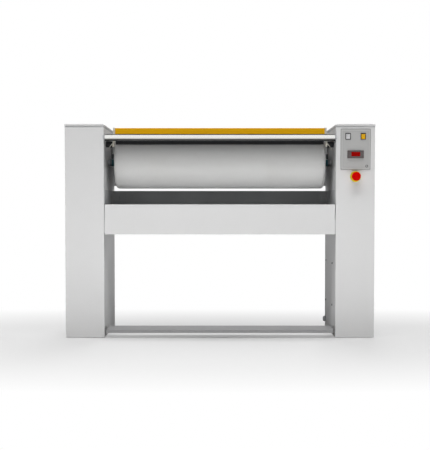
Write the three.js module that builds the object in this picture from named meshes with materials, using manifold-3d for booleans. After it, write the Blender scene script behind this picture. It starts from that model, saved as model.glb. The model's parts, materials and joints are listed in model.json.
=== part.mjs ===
// Flatwork ironer: a padded roller turns against a heated chest, between two sheet-metal pillars.
// A foot treadle swings the chest onto the roller. Linen goes in over the feed bar and under the
// yellow finger guard, and comes back into the tray below.
// Millimetres. +X is the machine's right seen from the front, +Y points to the back, +Z is up.
// Shapes are drawn with y = 0 on the pillars' front faces and the floor at z = 0.
import * as THREE from 'three';
import { mergeVertices } from 'three/addons/utils/BufferGeometryUtils.js';
import Module from 'manifold-3d';

const wasm = await Module();
wasm.setup();

// ---------------------------------------------------------------- driving dimensions
const overallHeight = 1000; // floor to the top of the lids
const clearSpan = 1082; // between the pillars' inner faces
const pillarWidth = 181;
const groundClearance = 3;
const fit = 0.3; // gap between pieces that touch
const runningFit = 0.4; // gap round a pin that turns

const casingSheet = 2;
const frameSheet = 3;
const frameFlange = 18; // folded edge of a side frame
const lidHeight = 10;
const lidOverhang = 2.5;
const lidWall = 2;

const rollerRadius = 125; // over the cloth
const rollerSetback = 87; // front plane to the cloth
const rollerTopDrop = 45; // lid top to the top of the cloth
const rollerEndGap = 38; // pillar to the end of the cloth
const clothThickness = 2.7;
const clothEndRadius = 14;
const paddingThickness = 13.7;
const drumWall = 4;
const drumEndInset = 7;
const drumEndThickness = 8;
const drumVentRadius = 3;
const drumVentCircle = 60;
const shaftRadius = 15;
const shaftReach = 59; // beyond the pillar's inner face

const chestGap = 8; // open gap between cloth and chest
const chestThickness = 10;
const elementRadius = 4.2;
const insulationThickness = 18;
const chestLowAngle = -40; // degrees from straight back, up is positive
const chestHighAngle = 75;
const insulationHighAngle = 62;
const chestEndThickness = 5;
const chestStubRadius = 12;
const chestStubAngle = 15;
const chestStubInset = 5; // from the middle of the chest's layers
const rearClearance = 36; // insulation to the rear sheet
const chestPivotBack = 123; // behind the roller's axis
const chestPivotDrop = 190; // below the roller's axis

const barRadius = 16;
const barWall = 2;
const barDrop = 61; // lid top to the feed bar's axis
const barSetback = 1;
const plugFlangeRadius = 19;
const plugFlange = 8;
const plugSpigot = 20;

const guardBehindCloth = 11; // cloth's front to the guard's front
const guardHeight = 30;
const guardTopDrop = 10;
const guardReturn = 14;
const guardSheet = 2.5;
const guardEndGap = 42;
const guardPivotDrop = 77; // below the guard's top
const guardPivotBack = 12;
const guardCapThickness = 8.7;
const guardCapMargin = 3; // round the yellow bar's end
const guardHubRadius = 12;
const guardPinRadius = 6;
const guardDiscRadius = 15;
const guardDiscThickness = 20;

const archFront = 14; // front plane to the pillar's side opening
const archTopRise = 106; // above the roller's axis
const archBottomDrop = 24;
const archRearBack = 168; // behind the roller's axis
const archFrontRadius = 60;
const archCornerRadius = 22;

const bearingPlateThickness = 6;
const bearingPlateFront = 152; // in front of the roller's axis
const bearingPlateBack = 118;
const bearingPlateRise = 75;
const bearingPlateDrop = 90;
const bearingPlateEar = 5; // round the finger guard's disc
const bearingHoleMargin = 9; // round the shaft
const bearingFlangeSide = 92;
const bearingFlangeThickness = 8;
const bearingBossRadius = 30;
const bearingBossLength = 22;
const collarRadius = 22;
const collarLength = 24;
const collarGap = 5; // collar to the pillar's inner face

const armThickness = 8;
const armOffset = 19; // pillar's inner face to a lever
const pivotPinRadius = 8;
const pivotBossWall = 6;
const pivotBossLength = 12;
const linkPinRadius = 4;
const linkPinProud = 2; // beyond the pull rod
const chestLever = 50; // chest pivot to the pull rod
const pedalLever = 30; // pull rod to the pedal pivot
const pedalPivotHeight = 60;
const rodThickness = 6;
const rodHalfWidth = 10;

const treadDepth = 95;
const treadFrontHeight = 38;
const treadRearHeight = 46;
const treadLipBottom = 24;
const treadRearFlange = 17;
const treadSheet = 3;
const treadEndGap = 9;
const crossBarHeight = 33; // centre of the bar that leaves the tread
const crossBarFront = 44;
const crossBarDepth = 36;
const crossBarThickness = 8;
const crossBarInset = 20; // under the tread's end
const slotMargin = 5;
const slotTop = 47;
const slotBottom = 7;
const slotCorner = 2;

const springRadius = 10;
const springWire = 3;
const springPlace = 200; // behind the front plane
const springHookHeight = 250;
const springSeatHeight = 62;
const springHookThickness = 4;

const trayTopDrop = 10; // roller's underside to the tray's top edge
const trayBehindAxis = 108; // roller's axis to the tray's rear wall
const traySheet = 2;
const trayFloorRise = 7.5; // apron's lower edge to the tray's floor
const trayFrontFlange = 60;
const trayFrontNotch = 15; // end plates cut back behind the apron's curl
const apronTopDrop = 68.5; // tray's top edge to the apron's
const apronHeight = 140;
const apronSheet = 2;
const apronEndGap = 4;
const apronCurlRadius = 5;
const apronBottomFlange = 15;
const traySlotWidth = 6;
const traySlotHeight = 20;
const traySlotInset = 38; // pillar's inner face to a slot's centre
const traySlotDrop = 35;

const rearCoverRise = 27; // tray's top edge to the rear cover's lower edge
const rearCoverTopDrop = 25;
const rearCoverFlange = 60;
const rearCoverSheet = 2;

const footRadius = 22;
const footStudRadius = 5;
const footStudHeight = 28;
const footInset = 50; // from the front and rear of a pillar
const footOffset = 99; // from the pillar's inner face

const chainPitch = 12.7;
const rollerTeeth = 24;
const motorTeeth = 15;
const toothHeight = 3;
const sprocketThickness = 7;
const sprocketOffset = 39; // pillar's inner face to the sprockets
const sprocketHubRadius = 24;
const sprocketHubFront = 5;
const sprocketHubBack = 8;
const motorShaftInset = 4; // shaft's end in front of the small sprocket
const chainBand = 4;
const motorAxisHeight = 270;
const motorShaftRadius = 10;
const motorShaftLength = 52;
const motorPlateThickness = 8;
const motorPlateMargin = 15;
const motorBoltFront = 120;
const motorBoltRear = 372;
const motorBoltBottom = 144.5;
const motorBoltTop = 345;
const motorBoltRadius = 3;
const motorBoltHeadRadius = 5;
const motorBoltHead = 3;
const motorBridgeOffset = 55; // pillar's inner face to the bridge that holds the gearbox
const motorBridgeThickness = 4;
const gearboxSide = 110;
const gearboxLength = 90;
const motorRadius = 48;
const motorLength = 120;

const panelWidth = 139;
const panelHeight = 189;
const panelTopDrop = 22.5;
const panelThickness = 2;
const rockerSpread = 35.3; // panel centre line to a rocker
const rockerDrop = 34.7; // panel's top to the rockers' centres
const rockerBezelWidth = 24.5;
const rockerBezelHeight = 30.4;
const rockerBezelThickness = 2.4;
const rockerBodyWidth = 21.6;
const rockerBodyHeight = 27.4;
const rockerBodyDepth = 30;
const rockerPocketWidth = 19;
const rockerPocketHeight = 25.4;
const rockerPocketDepth = 16;
const rockerWidth = 18;
const rockerHalfHeight = 11.3;
const rockerProud = 9; // pivot to the rocker's face
const rockerPivotDepth = 3; // behind the panel's front
const rockerTilt = 8;
const controllerBezelWidth = 75.6;
const controllerBezelHeight = 36;
const controllerBezelThickness = 8;
const controllerBodyWidth = 70;
const controllerBodyHeight = 28.4;
const controllerBodyDepth = 64;
const controllerDrop = 118.5; // panel's top to the controller's centre
const estopDrop = 32.5; // panel's lower edge to the emergency stop's axis
const estopCollarRadius = 25;
const estopCollarDepth = 14;
const estopBarrelRadius = 10.8;
const estopBarrelDepth = 40;
const estopStemRadius = 6;
const estopCapRadius = 21;
const estopCapDepth = 20;
const estopCapRound = 6;
const estopTravel = 5;

const glandBack = 390;
const glandHeight = 44;
const glandDomeRadius = 14;
const glandDomeLength = 13;
const glandThreadRadius = 8;
const glandThreadLength = 13;
const glandNutRadius = 12;
const glandNutLength = 5;
const glandBoreRadius = 4.5;

const contactorPlace = 120; // behind the front plane
const contactorHeight = 430;
const contactorPlateDepth = 190;
const contactorPlateHeight = 130;
const contactorPlateThickness = 3;
const contactorBlocks = 3;
const contactorBlockWidth = 45;
const contactorBlockHeight = 85;
const contactorBlockDepth = 62;

// ---------------------------------------------------------------- places that follow from them
const wallX = clearSpan / 2; // inner face of the right pillar
const outerX = wallX + pillarWidth;
const wallBackX = wallX + frameSheet;
const rollerAxis = [rollerSetback + rollerRadius, overallHeight - rollerTopDrop - rollerRadius];
const [rollerY, rollerZ] = rollerAxis;
const rollerHalf = wallX - rollerEndGap;
const paddingRadius = rollerRadius - clothThickness - fit;
const drumRadius = paddingRadius - paddingThickness;
const chestInner = rollerRadius + chestGap;
const chestOuter = chestInner + chestThickness;
const elementCircle = chestOuter + fit + elementRadius;
const insulationInner = elementCircle + elementRadius + fit;
const insulationOuter = insulationInner + insulationThickness;
const pillarDepth = rollerY + insulationOuter + rearClearance + casingSheet;
const pillarTop = overallHeight - lidHeight - fit;
const frameFrontY = casingSheet + fit;
const frameBackY = pillarDepth - casingSheet - fit;
const pillarMiddle = wallX + pillarWidth / 2;
const barAxis = [barSetback + barRadius, overallHeight - barDrop];
const guardTop = overallHeight - guardTopDrop;
const guardSetback = rollerSetback + guardBehindCloth;
const guardPivot = [guardSetback + guardPivotBack, guardTop - guardPivotDrop];
const guardHalf = wallX - guardEndGap;
const chestStub = onCircle((chestOuter + insulationOuter) / 2 - chestStubInset, chestStubAngle);
const chestPivot = [rollerY + chestPivotBack, rollerZ - chestPivotDrop];
const rodY = chestPivot[0] + chestLever;
const pedalPivot = [rodY - pedalLever, pedalPivotHeight];
const armX = wallX + armOffset;
const rodX0 = armX + armThickness + 2 * fit;
const motorAxis = [rollerY, motorAxisHeight];
const sprocketX = wallX + sprocketOffset;
const rollerPitchRadius = chainPitch / (2 * Math.sin(Math.PI / rollerTeeth));
const motorPitchRadius = chainPitch / (2 * Math.sin(Math.PI / motorTeeth));
const panelTop = overallHeight - panelTopDrop;
const panelFrontY = -panelThickness - fit;
const rockerPlaces = [-1, 1].map((side) => [pillarMiddle + side * rockerSpread, panelTop - rockerDrop]);
const controllerPlace = [pillarMiddle, panelTop - controllerDrop];
const estopPlace = [pillarMiddle, panelTop - panelHeight - estopDrop];
const estopCapBackY = -estopCollarDepth - fit - estopTravel;
const estopCapFrontY = estopCapBackY - estopCapDepth;
const trayTop = rollerZ - rollerRadius - trayTopDrop;
const trayBack = rollerY + trayBehindAxis;
const apronTop = trayTop - apronTopDrop;
const trayFloorHeight = apronTop - apronHeight + trayFloorRise;
const frontReach = estopCapFrontY;
const rearReach = pillarDepth + lidOverhang;

// ---------------------------------------------------------------- shapes
function onCircle(radius, degrees) {
  const angle = THREE.MathUtils.degToRad(degrees);
  return [rollerAxis[0] + radius * Math.cos(angle), rollerAxis[1] + radius * Math.sin(angle)];
}

function polygon(points) {
  return new THREE.Shape(points.map(([u, v]) => new THREE.Vector2(u, v)));
}

function rectangle(u0, u1, v0, v1) {
  return polygon([[u0, v0], [u1, v0], [u1, v1], [u0, v1]]);
}

// Rectangle with one radius a corner, given anticlockwise from the low corner.
function roundedRectangle(u0, u1, v0, v1, [r0, r1, r2, r3]) {
  const shape = new THREE.Shape();
  shape.absarc(u0 + r0, v0 + r0, r0, Math.PI, 1.5 * Math.PI, false);
  shape.absarc(u1 - r1, v0 + r1, r1, 1.5 * Math.PI, 2 * Math.PI, false);
  shape.absarc(u1 - r2, v1 - r2, r2, 0, 0.5 * Math.PI, false);
  shape.absarc(u0 + r3, v1 - r3, r3, 0.5 * Math.PI, Math.PI, false);
  return shape;
}

// Outline of two circles and the straight edges that touch both.
function linkShape([u1, v1], r1, [u2, v2], r2) {
  const along = Math.atan2(v2 - v1, u2 - u1);
  const spread = Math.acos((r1 - r2) / Math.hypot(u2 - u1, v2 - v1));
  const shape = new THREE.Shape();
  shape.absarc(u2, v2, r2, along - spread, along + spread, false);
  shape.absarc(u1, v1, r1, along + spread, along - spread + 2 * Math.PI, false);
  return shape;
}

// Sector of a ring round the roller's axis.
function arcShape(inner, outer, lowDegrees, highDegrees) {
  const low = THREE.MathUtils.degToRad(lowDegrees);
  const high = THREE.MathUtils.degToRad(highDegrees);
  const shape = new THREE.Shape();
  shape.absarc(rollerY, rollerZ, outer, low, high, false);
  shape.absarc(rollerY, rollerZ, inner, high, low, true);
  return shape;
}

// Outline of a bent sheet: along the path, and back along it on its left side.
function foldedSheet(path, thickness) {
  const normals = path.slice(1).map(([u, v], i) => {
    const length = Math.hypot(u - path[i][0], v - path[i][1]);
    return [-(v - path[i][1]) / length, (u - path[i][0]) / length];
  });
  const far = path.map(([u, v], i) => {
    const a = normals[Math.max(i - 1, 0)];
    const b = normals[Math.min(i, normals.length - 1)];
    const k = thickness / (1 + a[0] * b[0] + a[1] * b[1]);
    return [u + k * (a[0] + b[0]), v + k * (a[1] + b[1])];
  });
  return polygon([...path, ...far.reverse()]);
}

function sprocketShape([u, v], pitchRadius, teeth) {
  const profile = [[0.1, -1], [0.3, 1], [0.5, 1], [0.7, -1]];
  const points = [];
  for (let tooth = 0; tooth < teeth; tooth += 1) {
    for (const [share, rise] of profile) {
      const angle = (2 * Math.PI * (tooth + share)) / teeth;
      const radius = pitchRadius + rise * toothHeight;
      points.push([u + radius * Math.cos(angle), v + radius * Math.sin(angle)]);
    }
  }
  return polygon(points);
}

// ---------------------------------------------------------------- solids
// Turns a shape drawn in (y, z) and extruded along z, so that it is extruded along x.
const ALONG_X = new THREE.Matrix4().makeBasis(
  new THREE.Vector3(0, 1, 0), new THREE.Vector3(0, 0, 1), new THREE.Vector3(1, 0, 0),
);

// Closed solid from a closed geometry, faces turned outwards.
function solid(geometry) {
  const bare = geometry.clone();
  bare.deleteAttribute('normal');
  bare.deleteAttribute('uv');
  const merged = mergeVertices(bare, 1e-4);
  const position = merged.getAttribute('position');
  const corner = [new THREE.Vector3(), new THREE.Vector3(), new THREE.Vector3()];
  const kept = [];
  let volume = 0;
  for (let i = 0; i < merged.index.count; i += 3) {
    const ids = [0, 1, 2].map((k) => merged.index.getX(i + k));
    if (new Set(ids).size < 3) continue;
    ids.forEach((id, k) => corner[k].fromBufferAttribute(position, id));
    volume += corner[0].dot(corner[1].clone().cross(corner[2]));
    kept.push(...ids);
  }
  if (volume < 0) kept.reverse();
  return new wasm.Manifold(
    new wasm.Mesh({ numProp: 3, vertProperties: position.array, triVerts: Uint32Array.from(kept) }),
  );
}

function join(first, ...others) {
  return others.reduce((whole, other) => whole.add(other), first);
}

function cut(first, ...others) {
  return others.reduce((whole, other) => whole.subtract(other), first);
}

function extruded(shape, depth, holes = [], curveSegments = 4) {
  shape.holes.push(...holes);
  return new THREE.ExtrudeGeometry(shape, { depth, bevelEnabled: false, curveSegments });
}

// A shape drawn in (y, z), from x0 to x1.
function prismX(shape, x0, x1, holes, curveSegments) {
  return solid(extruded(shape, x1 - x0, holes, curveSegments).applyMatrix4(ALONG_X).translate(x0, 0, 0));
}

// A shape drawn in (x, y), from z0 to z1.
function prismZ(shape, z0, z1) {
  return solid(extruded(shape, z1 - z0).translate(0, 0, z0));
}

function box(x0, x1, y0, y1, z0, z1) {
  const geometry = new THREE.BoxGeometry(x1 - x0, y1 - y0, z1 - z0);
  return solid(geometry.translate((x0 + x1) / 2, (y0 + y1) / 2, (z0 + z1) / 2));
}

// Profiles of [place along the axis, radius] turned round an axis along X, Y or Z.
function turned(profile, sides) {
  return new THREE.LatheGeometry(profile.map(([along, r]) => new THREE.Vector2(r, along)), sides);
}

function latheX(profile, [y, z], sides = 24) {
  return solid(turned(profile, sides).rotateZ(-Math.PI / 2).translate(0, y, z));
}

function latheY(profile, [x, z], sides = 24) {
  return solid(turned(profile, sides).translate(x, 0, z));
}

function latheZ(profile, [x, y], sides = 24) {
  return solid(turned(profile, sides).rotateX(Math.PI / 2).translate(x, y, 0));
}

function rodProfile(from, to, radius) {
  return [[from, 0], [from, radius], [to, radius], [to, 0]];
}

function tubeProfile(from, to, outer, inner) {
  return [[from, inner], [from, outer], [to, outer], [to, inner], [from, inner]];
}

function rodX(radius, x0, x1, centre, sides) {
  return latheX(rodProfile(x0, x1, radius), centre, sides);
}

function tubeX(outer, inner, x0, x1, centre, sides) {
  return latheX(tubeProfile(x0, x1, outer, inner), centre, sides);
}

// ---------------------------------------------------------------- nodes
const machine = new THREE.Group();

function paint(color, roughness, metalness = 0) {
  return () => new THREE.MeshStandardMaterial({ color, roughness, metalness });
}

const lightPaint = paint(0xd4d4d4, 0.45);
const greyPaint = paint(0xb0b0b0, 0.5);
const darkPaint = paint(0x55585a, 0.6);
const steel = paint(0xb9bcbf, 0.35, 0.9);
const darkSteel = paint(0x6d7073, 0.45, 0.8);
const chrome = paint(0xf0f0ec, 0.15, 0.9);
const cloth = paint(0xc4c4c4, 0.95);
const felt = paint(0xa09a8c, 1);
const foil = paint(0xc9ccd0, 0.3, 0.8);
const signalYellow = paint(0xcc980f, 0.5);
const signalRed = paint(0xc20603, 0.4);
const amber = paint(0xd99e1c, 0.35);
const whitePlastic = paint(0xe4e4e4, 0.4);
const palePlastic = paint(0xd8d6cc, 0.5);
const blackPlastic = paint(0x2b2b2d, 0.5);
const tealPlastic = paint(0x1f4a52, 0.55);
const panelGrey = paint(0xabacac, 0.4, 0.3);

function addNode(name, body, material, mirrored = false) {
  const { vertProperties, triVerts } = body.getMesh();
  const geometry = new THREE.BufferGeometry();
  geometry.setAttribute('position', new THREE.BufferAttribute(vertProperties, 3));
  geometry.setIndex(new THREE.BufferAttribute(mirrored ? triVerts.slice().reverse() : triVerts, 1));
  if (mirrored) geometry.scale(-1, 1, 1);
  geometry.computeVertexNormals();
  const mesh = new THREE.Mesh(geometry, material());
  mesh.name = name;
  machine.add(mesh);
}

// Adds a piece of the right side, and the same piece mirrored for the left side.
function addPair(base, make, material) {
  addNode(`${base}_right`, make(1), material);
  addNode(`${base}_left`, make(-1), material, true);
}

// ---------------------------------------------------------------- pillars
const barNotch = rodX(plugFlangeRadius + fit, wallX - 1, wallX + plugFlange / 2 + fit, barAxis);

function archShape() {
  const corner = archCornerRadius;
  return roundedRectangle(
    archFront, rollerY + archRearBack, rollerZ - archBottomDrop, rollerZ + archTopRise,
    [corner, corner, corner, archFrontRadius],
  );
}

function pivotBoss(centre) {
  const radius = pivotPinRadius + runningFit;
  return tubeX(radius + pivotBossWall, radius, wallX + frameSheet / 2, wallBackX + pivotBossLength, centre);
}

function pedalSlot() {
  const shape = roundedRectangle(
    crossBarFront - slotMargin, crossBarFront + crossBarDepth + slotMargin, slotBottom, slotTop,
    [slotCorner, slotCorner, slotCorner, slotCorner],
  );
  return prismX(shape, wallX - 1, wallBackX + 1);
}

function motorBoltPlaces() {
  return [motorBoltFront, motorBoltRear].flatMap((y) => [motorBoltBottom, motorBoltTop].map((z) => [y, z]));
}

function sideFrame(side) {
  const wall = prismX(
    rectangle(frameFrontY, frameBackY, groundClearance, pillarTop), wallX, wallBackX, [archShape()],
  );
  const flangeX = wallX + frameFlange;
  const front = box(wallX, flangeX, frameFrontY, frameFrontY + frameSheet, groundClearance, pillarTop);
  const rear = box(wallX, flangeX, frameBackY - frameSheet, frameBackY, groundClearance, pillarTop);
  const floor = box(
    wallX, outerX - casingSheet - fit, frameFrontY, frameBackY, groundClearance, groundClearance + frameSheet,
  );
  const studHoles = footPlaces().map((place) => latheZ(
    rodProfile(0, groundClearance + 2 * frameSheet, footStudRadius + fit), place, 16,
  ));
  let body = join(wall, front, rear, floor, pivotBoss(chestPivot), pivotBoss(pedalPivot));
  if (side > 0) {
    const bolts = motorBoltPlaces().map(
      (place) => rodX(motorBoltRadius + fit, wallX - 1, wallBackX + 1, place, 16),
    );
    body = cut(body, ...bolts, rodX(glandThreadRadius + fit, wallX - 1, wallBackX + 1, glandPlace(), 20));
  } else {
    body = join(body, springHook());
  }
  return cut(body, barNotch, pedalSlot(), ...studHoles);
}

function springHook() {
  return box(
    wallX + 1, armX + armThickness, springPlace - springRadius, springPlace + springRadius,
    springHookHeight, springHookHeight + springHookThickness,
  );
}

function casing(side) {
  const inner = casingSheet;
  const outline = polygon([
    [wallX, 0], [outerX, 0], [outerX, pillarDepth], [wallX, pillarDepth],
    [wallX, pillarDepth - inner], [outerX - inner, pillarDepth - inner],
    [outerX - inner, inner], [wallX, inner],
  ]);
  const shell = cut(prismZ(outline, groundClearance, pillarTop), barNotch);
  return side > 0 ? cut(shell, ...controlCutouts(-1, casingSheet + 1)) : shell;
}

function lid() {
  const x0 = wallX - lidOverhang / 2;
  const x1 = outerX + lidOverhang;
  const cap = box(x0, x1, -lidOverhang, pillarDepth + lidOverhang, overallHeight - lidHeight, overallHeight);
  const hollow = box(
    x0 + lidWall + lidOverhang, x1 - lidWall - lidOverhang, lidWall, pillarDepth - lidWall,
    overallHeight - lidHeight - 1, overallHeight - lidWall,
  );
  return cut(cap, hollow);
}

function footPlaces() {
  return [footInset, pillarDepth - footInset].map((y) => [wallX + footOffset, y]);
}

function foot(place) {
  const padTop = groundClearance - fit;
  return latheZ(
    [[0, 0], [0, footRadius], [padTop, footRadius], [padTop, footStudRadius],
      [footStudHeight, footStudRadius], [footStudHeight, 0]],
    place, 24,
  );
}

addPair('side_frame', sideFrame, lightPaint);
addPair('casing', casing, lightPaint);
addPair('lid', lid, lightPaint);
footPlaces().forEach((place, i) => {
  addPair(['foot_front', 'foot_rear'][i], () => foot(place), blackPlastic);
});

// ---------------------------------------------------------------- sheets between the pillars
function rearCover() {
  const y = frameBackY - rearCoverSheet;
  const top = overallHeight - rearCoverTopDrop;
  const path = [[y - rearCoverFlange, top], [y, top], [y, trayTop + rearCoverRise]];
  return prismX(foldedSheet(path, rearCoverSheet), -wallX + fit, wallX - fit);
}

function linenTray() {
  const front = apronSheet + fit;
  const path = [
    [front, trayFloorHeight + trayFrontFlange], [front, trayFloorHeight],
    [trayBack, trayFloorHeight], [trayBack, trayTop],
  ];
  const half = wallX - fit;
  const end = rectangle(front, trayBack, trayFloorHeight, trayTop);
  const frontCut = rectangle(
    front - 1, front + trayFrontNotch, apronTop - trayFrontNotch, trayTop + 1,
  );
  const ends = [-half, half - traySheet].map((x) => cut(
    prismX(end, x, x + traySheet), prismX(frontCut, x - 1, x + traySheet + 1),
  ));
  const slots = [-1, 1].map((side) => {
    const x = side * (wallX - traySlotInset);
    const z = trayTop - traySlotDrop;
    return box(
      x - traySlotWidth / 2, x + traySlotWidth / 2, trayBack - 2 * traySheet, trayBack + 2 * traySheet,
      z - traySlotHeight / 2, z + traySlotHeight / 2,
    );
  });
  return cut(join(prismX(foldedSheet(path, traySheet), -half, half), ...ends), ...slots);
}

function trayApron() {
  const r = apronCurlRadius;
  const bottom = apronTop - apronHeight;
  const curl = new THREE.Shape();
  curl.absarc(r, apronTop - r, r, Math.PI, 0, true);
  curl.lineTo(2 * r - apronSheet, apronTop - r);
  curl.absarc(r, apronTop - r, r - apronSheet, 0, Math.PI, false);
  curl.lineTo(apronSheet, bottom + apronSheet);
  curl.lineTo(apronSheet + apronBottomFlange, bottom + apronSheet);
  curl.lineTo(apronSheet + apronBottomFlange, bottom);
  curl.lineTo(0, bottom);
  return prismX(curl, -wallX + apronEndGap, wallX - apronEndGap, [], 8);
}

addNode('rear_cover', rearCover(), greyPaint);
addNode('linen_tray', linenTray(), darkPaint);
addNode('tray_apron', trayApron(), lightPaint);

// ---------------------------------------------------------------- feed bar
function feedBar() {
  const half = wallX - plugFlange / 2 - fit;
  return tubeX(barRadius, barRadius - barWall, -half, half, barAxis, 32);
}

function barPlug() {
  const flangeX = wallX - plugFlange / 2;
  const spigotRadius = barRadius - barWall - fit;
  return latheX(
    [[flangeX - plugSpigot, 0], [flangeX - plugSpigot, spigotRadius], [flangeX, spigotRadius],
      [flangeX, plugFlangeRadius], [flangeX + plugFlange, plugFlangeRadius], [flangeX + plugFlange, 0]],
    barAxis,
  );
}

addNode('feed_bar', feedBar(), chrome);
addPair('feed_bar_plug', barPlug, blackPlastic);

// ---------------------------------------------------------------- roller
function rollerDrum() {
  const end = rollerHalf - clothThickness - 2 * fit;
  const outerFace = end - drumEndInset / 2;
  const innerFace = outerFace - drumEndThickness;
  const bore = drumRadius - drumWall;
  const right = [
    [end, drumRadius], [end, bore], [outerFace, bore], [outerFace, shaftRadius],
    [wallX + shaftReach, shaftRadius], [wallX + shaftReach, 0],
  ];
  const left = right.map(([x, r]) => [-x, r]).reverse();
  const hollow = rodX(bore, -innerFace, innerFace, rollerAxis, 48);
  const vent = rodX(drumVentRadius, -end, end, [rollerY, rollerZ + drumVentCircle], 12);
  return cut(latheX([...left, ...right], rollerAxis, 48), hollow, vent);
}

function rollerPadding() {
  const end = rollerHalf - clothThickness - fit;
  const shoulder = rollerHalf - clothEndRadius;
  const shoulderRadius = rollerRadius - clothEndRadius;
  const right = [[shoulder, paddingRadius], [end, shoulderRadius], [end, drumRadius + fit]];
  const left = right.map(([x, r]) => [-x, r]).reverse();
  return latheX([...left, ...right, left[0]], rollerAxis, 48);
}

function rollerCover() {
  const steps = 3;
  const shoulder = rollerHalf - clothEndRadius;
  const shoulderRadius = rollerRadius - clothEndRadius;
  const turn = (radius) => Array.from({ length: steps + 1 }, (unused, i) => {
    const angle = (Math.PI / 2) * (1 - i / steps);
    return [shoulder + radius * Math.cos(angle), shoulderRadius + radius * Math.sin(angle)];
  });
  const hem = drumRadius - 2 * drumWall;
  const outer = [...turn(clothEndRadius), [rollerHalf, hem]];
  const inner = [...turn(clothEndRadius - clothThickness), [rollerHalf - clothThickness, hem]];
  const mirror = (points) => points.map(([x, r]) => [-x, r]).reverse();
  const loop = [...mirror(outer), ...outer, ...inner.reverse(), ...mirror(inner)];
  return latheX([...loop, loop[0]], rollerAxis, 48);
}

function shaftCollar() {
  const end = wallX - collarGap;
  return tubeX(collarRadius, shaftRadius + fit, end - collarLength, end, rollerAxis);
}

const bearingPlateX = wallBackX + fit;
const bearingX = bearingPlateX + bearingPlateThickness + fit;

function bearingPlate() {
  const edge = bearingPlateX + bearingPlateThickness;
  const shape = rectangle(
    rollerY - bearingPlateFront, rollerY + bearingPlateBack,
    rollerZ - bearingPlateDrop, rollerZ + bearingPlateRise,
  );
  const ear = rodX(guardDiscRadius + bearingPlateEar, bearingPlateX, edge, guardPivot);
  const shaftHole = rodX(shaftRadius + bearingHoleMargin, bearingPlateX - 1, edge + 1, rollerAxis);
  return cut(join(prismX(shape, bearingPlateX, edge), ear), shaftHole);
}

function rollerBearing() {
  const half = bearingFlangeSide / 2;
  const r = bearingFlangeSide / 6;
  const flange = roundedRectangle(
    rollerY - half, rollerY + half, rollerZ - half, rollerZ + half, [r, r, r, r],
  );
  return cut(
    join(
      prismX(flange, bearingX, bearingX + bearingFlangeThickness),
      rodX(bearingBossRadius, bearingX + 1, bearingX + bearingBossLength, rollerAxis),
    ),
    rodX(shaftRadius + fit, bearingX - 1, bearingX + bearingBossLength + 1, rollerAxis),
  );
}

addNode('roller_drum', rollerDrum(), steel);
addNode('roller_padding', rollerPadding(), felt);
addNode('roller_cover', rollerCover(), cloth);
addPair('shaft_collar', shaftCollar, tealPlastic);
addPair('bearing_plate', bearingPlate, darkPaint);
addPair('roller_bearing', rollerBearing, darkSteel);

// ---------------------------------------------------------------- heated chest
function chestSector(inner, outer, high) {
  return prismX(arcShape(inner, outer, chestLowAngle, high), -rollerHalf, rollerHalf, [], 10);
}

function heatingElement(angle) {
  return rodX(elementRadius, -rollerHalf, rollerHalf, onCircle(elementCircle, angle), 12);
}

function chestEnd() {
  const x0 = rollerHalf + fit;
  const plate = arcShape(chestInner, insulationOuter, chestLowAngle, insulationHighAngle);
  return join(
    prismX(plate, x0, x0 + chestEndThickness, [], 10),
    rodX(chestStubRadius, x0 + 1, armX + armThickness + 1, chestStub),
  );
}

function chestArm(side) {
  const armEnd = armX + armThickness;
  const hub = 2.75 * pivotPinRadius;
  const parts = [rodX(pivotPinRadius, wallBackX + fit, armX + 1, chestPivot)];
  if (side < 0) {
    const eye = [rodY, chestPivot[1]];
    parts.push(prismX(linkShape(chestPivot, hub, eye, 3.5 * linkPinRadius), armX, armEnd));
    parts.push(rodX(linkPinRadius, armEnd - 1, rodX0 + rodThickness + linkPinProud, eye, 16));
  }
  const arm = prismX(linkShape(chestStub, 2 * chestStubRadius, chestPivot, hub), armX, armEnd);
  return cut(join(arm, ...parts), rodX(chestStubRadius + fit, armX - 1, armEnd + 1, chestStub));
}

addNode('chest_plate', chestSector(chestInner, chestOuter, chestHighAngle), steel);
addNode('heating_element_upper', heatingElement(chestStubAngle * 3), darkSteel);
addNode('heating_element_lower', heatingElement(-chestStubAngle), darkSteel);
addNode('chest_insulation', chestSector(insulationInner, insulationOuter, insulationHighAngle), foil);
addPair('chest_end', chestEnd, darkSteel);
addPair('chest_arm', chestArm, darkSteel);

// ---------------------------------------------------------------- finger guard
const guardHubX = rollerHalf + 1;
const guardDiscX = wallBackX - guardDiscThickness;

function guardBar() {
  const path = [
    [guardSetback + guardReturn, guardTop], [guardSetback, guardTop], [guardSetback, guardTop - guardHeight],
  ];
  return prismX(foldedSheet(path, guardSheet), -guardHalf, guardHalf);
}

function guardArm() {
  const x0 = guardHalf + fit;
  const x1 = x0 + guardCapThickness;
  const cap = roundedRectangle(
    guardSetback - guardCapMargin, guardSetback + guardReturn + guardCapMargin,
    guardTop - guardHeight - guardCapMargin, guardTop + guardCapMargin / 2,
    [guardCapMargin, guardCapMargin, guardCapMargin, guardCapMargin],
  );
  const foot = [guardSetback + guardReturn / 2, guardTop - guardHeight];
  const strut = linkShape(guardPivot, guardHubRadius, foot, guardHubRadius * 0.8);
  return cut(
    join(
      prismX(cap, x0, x1), prismX(strut, guardHubX, x1),
      rodX(guardHubRadius, guardHubX, guardDiscX - fit, guardPivot),
    ),
    rodX(guardPinRadius + runningFit, x0 - 1, guardDiscX + 1, guardPivot),
  );
}

function guardPin() {
  return latheX(
    [[guardHubX, 0], [guardHubX, guardPinRadius], [guardDiscX, guardPinRadius], [guardDiscX, guardDiscRadius],
      [wallBackX, guardDiscRadius], [wallBackX, 0]],
    guardPivot,
  );
}

addNode('guard_bar', guardBar(), signalYellow);
addPair('guard_arm', guardArm, palePlastic);
addPair('guard_pin', guardPin, blackPlastic);

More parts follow.
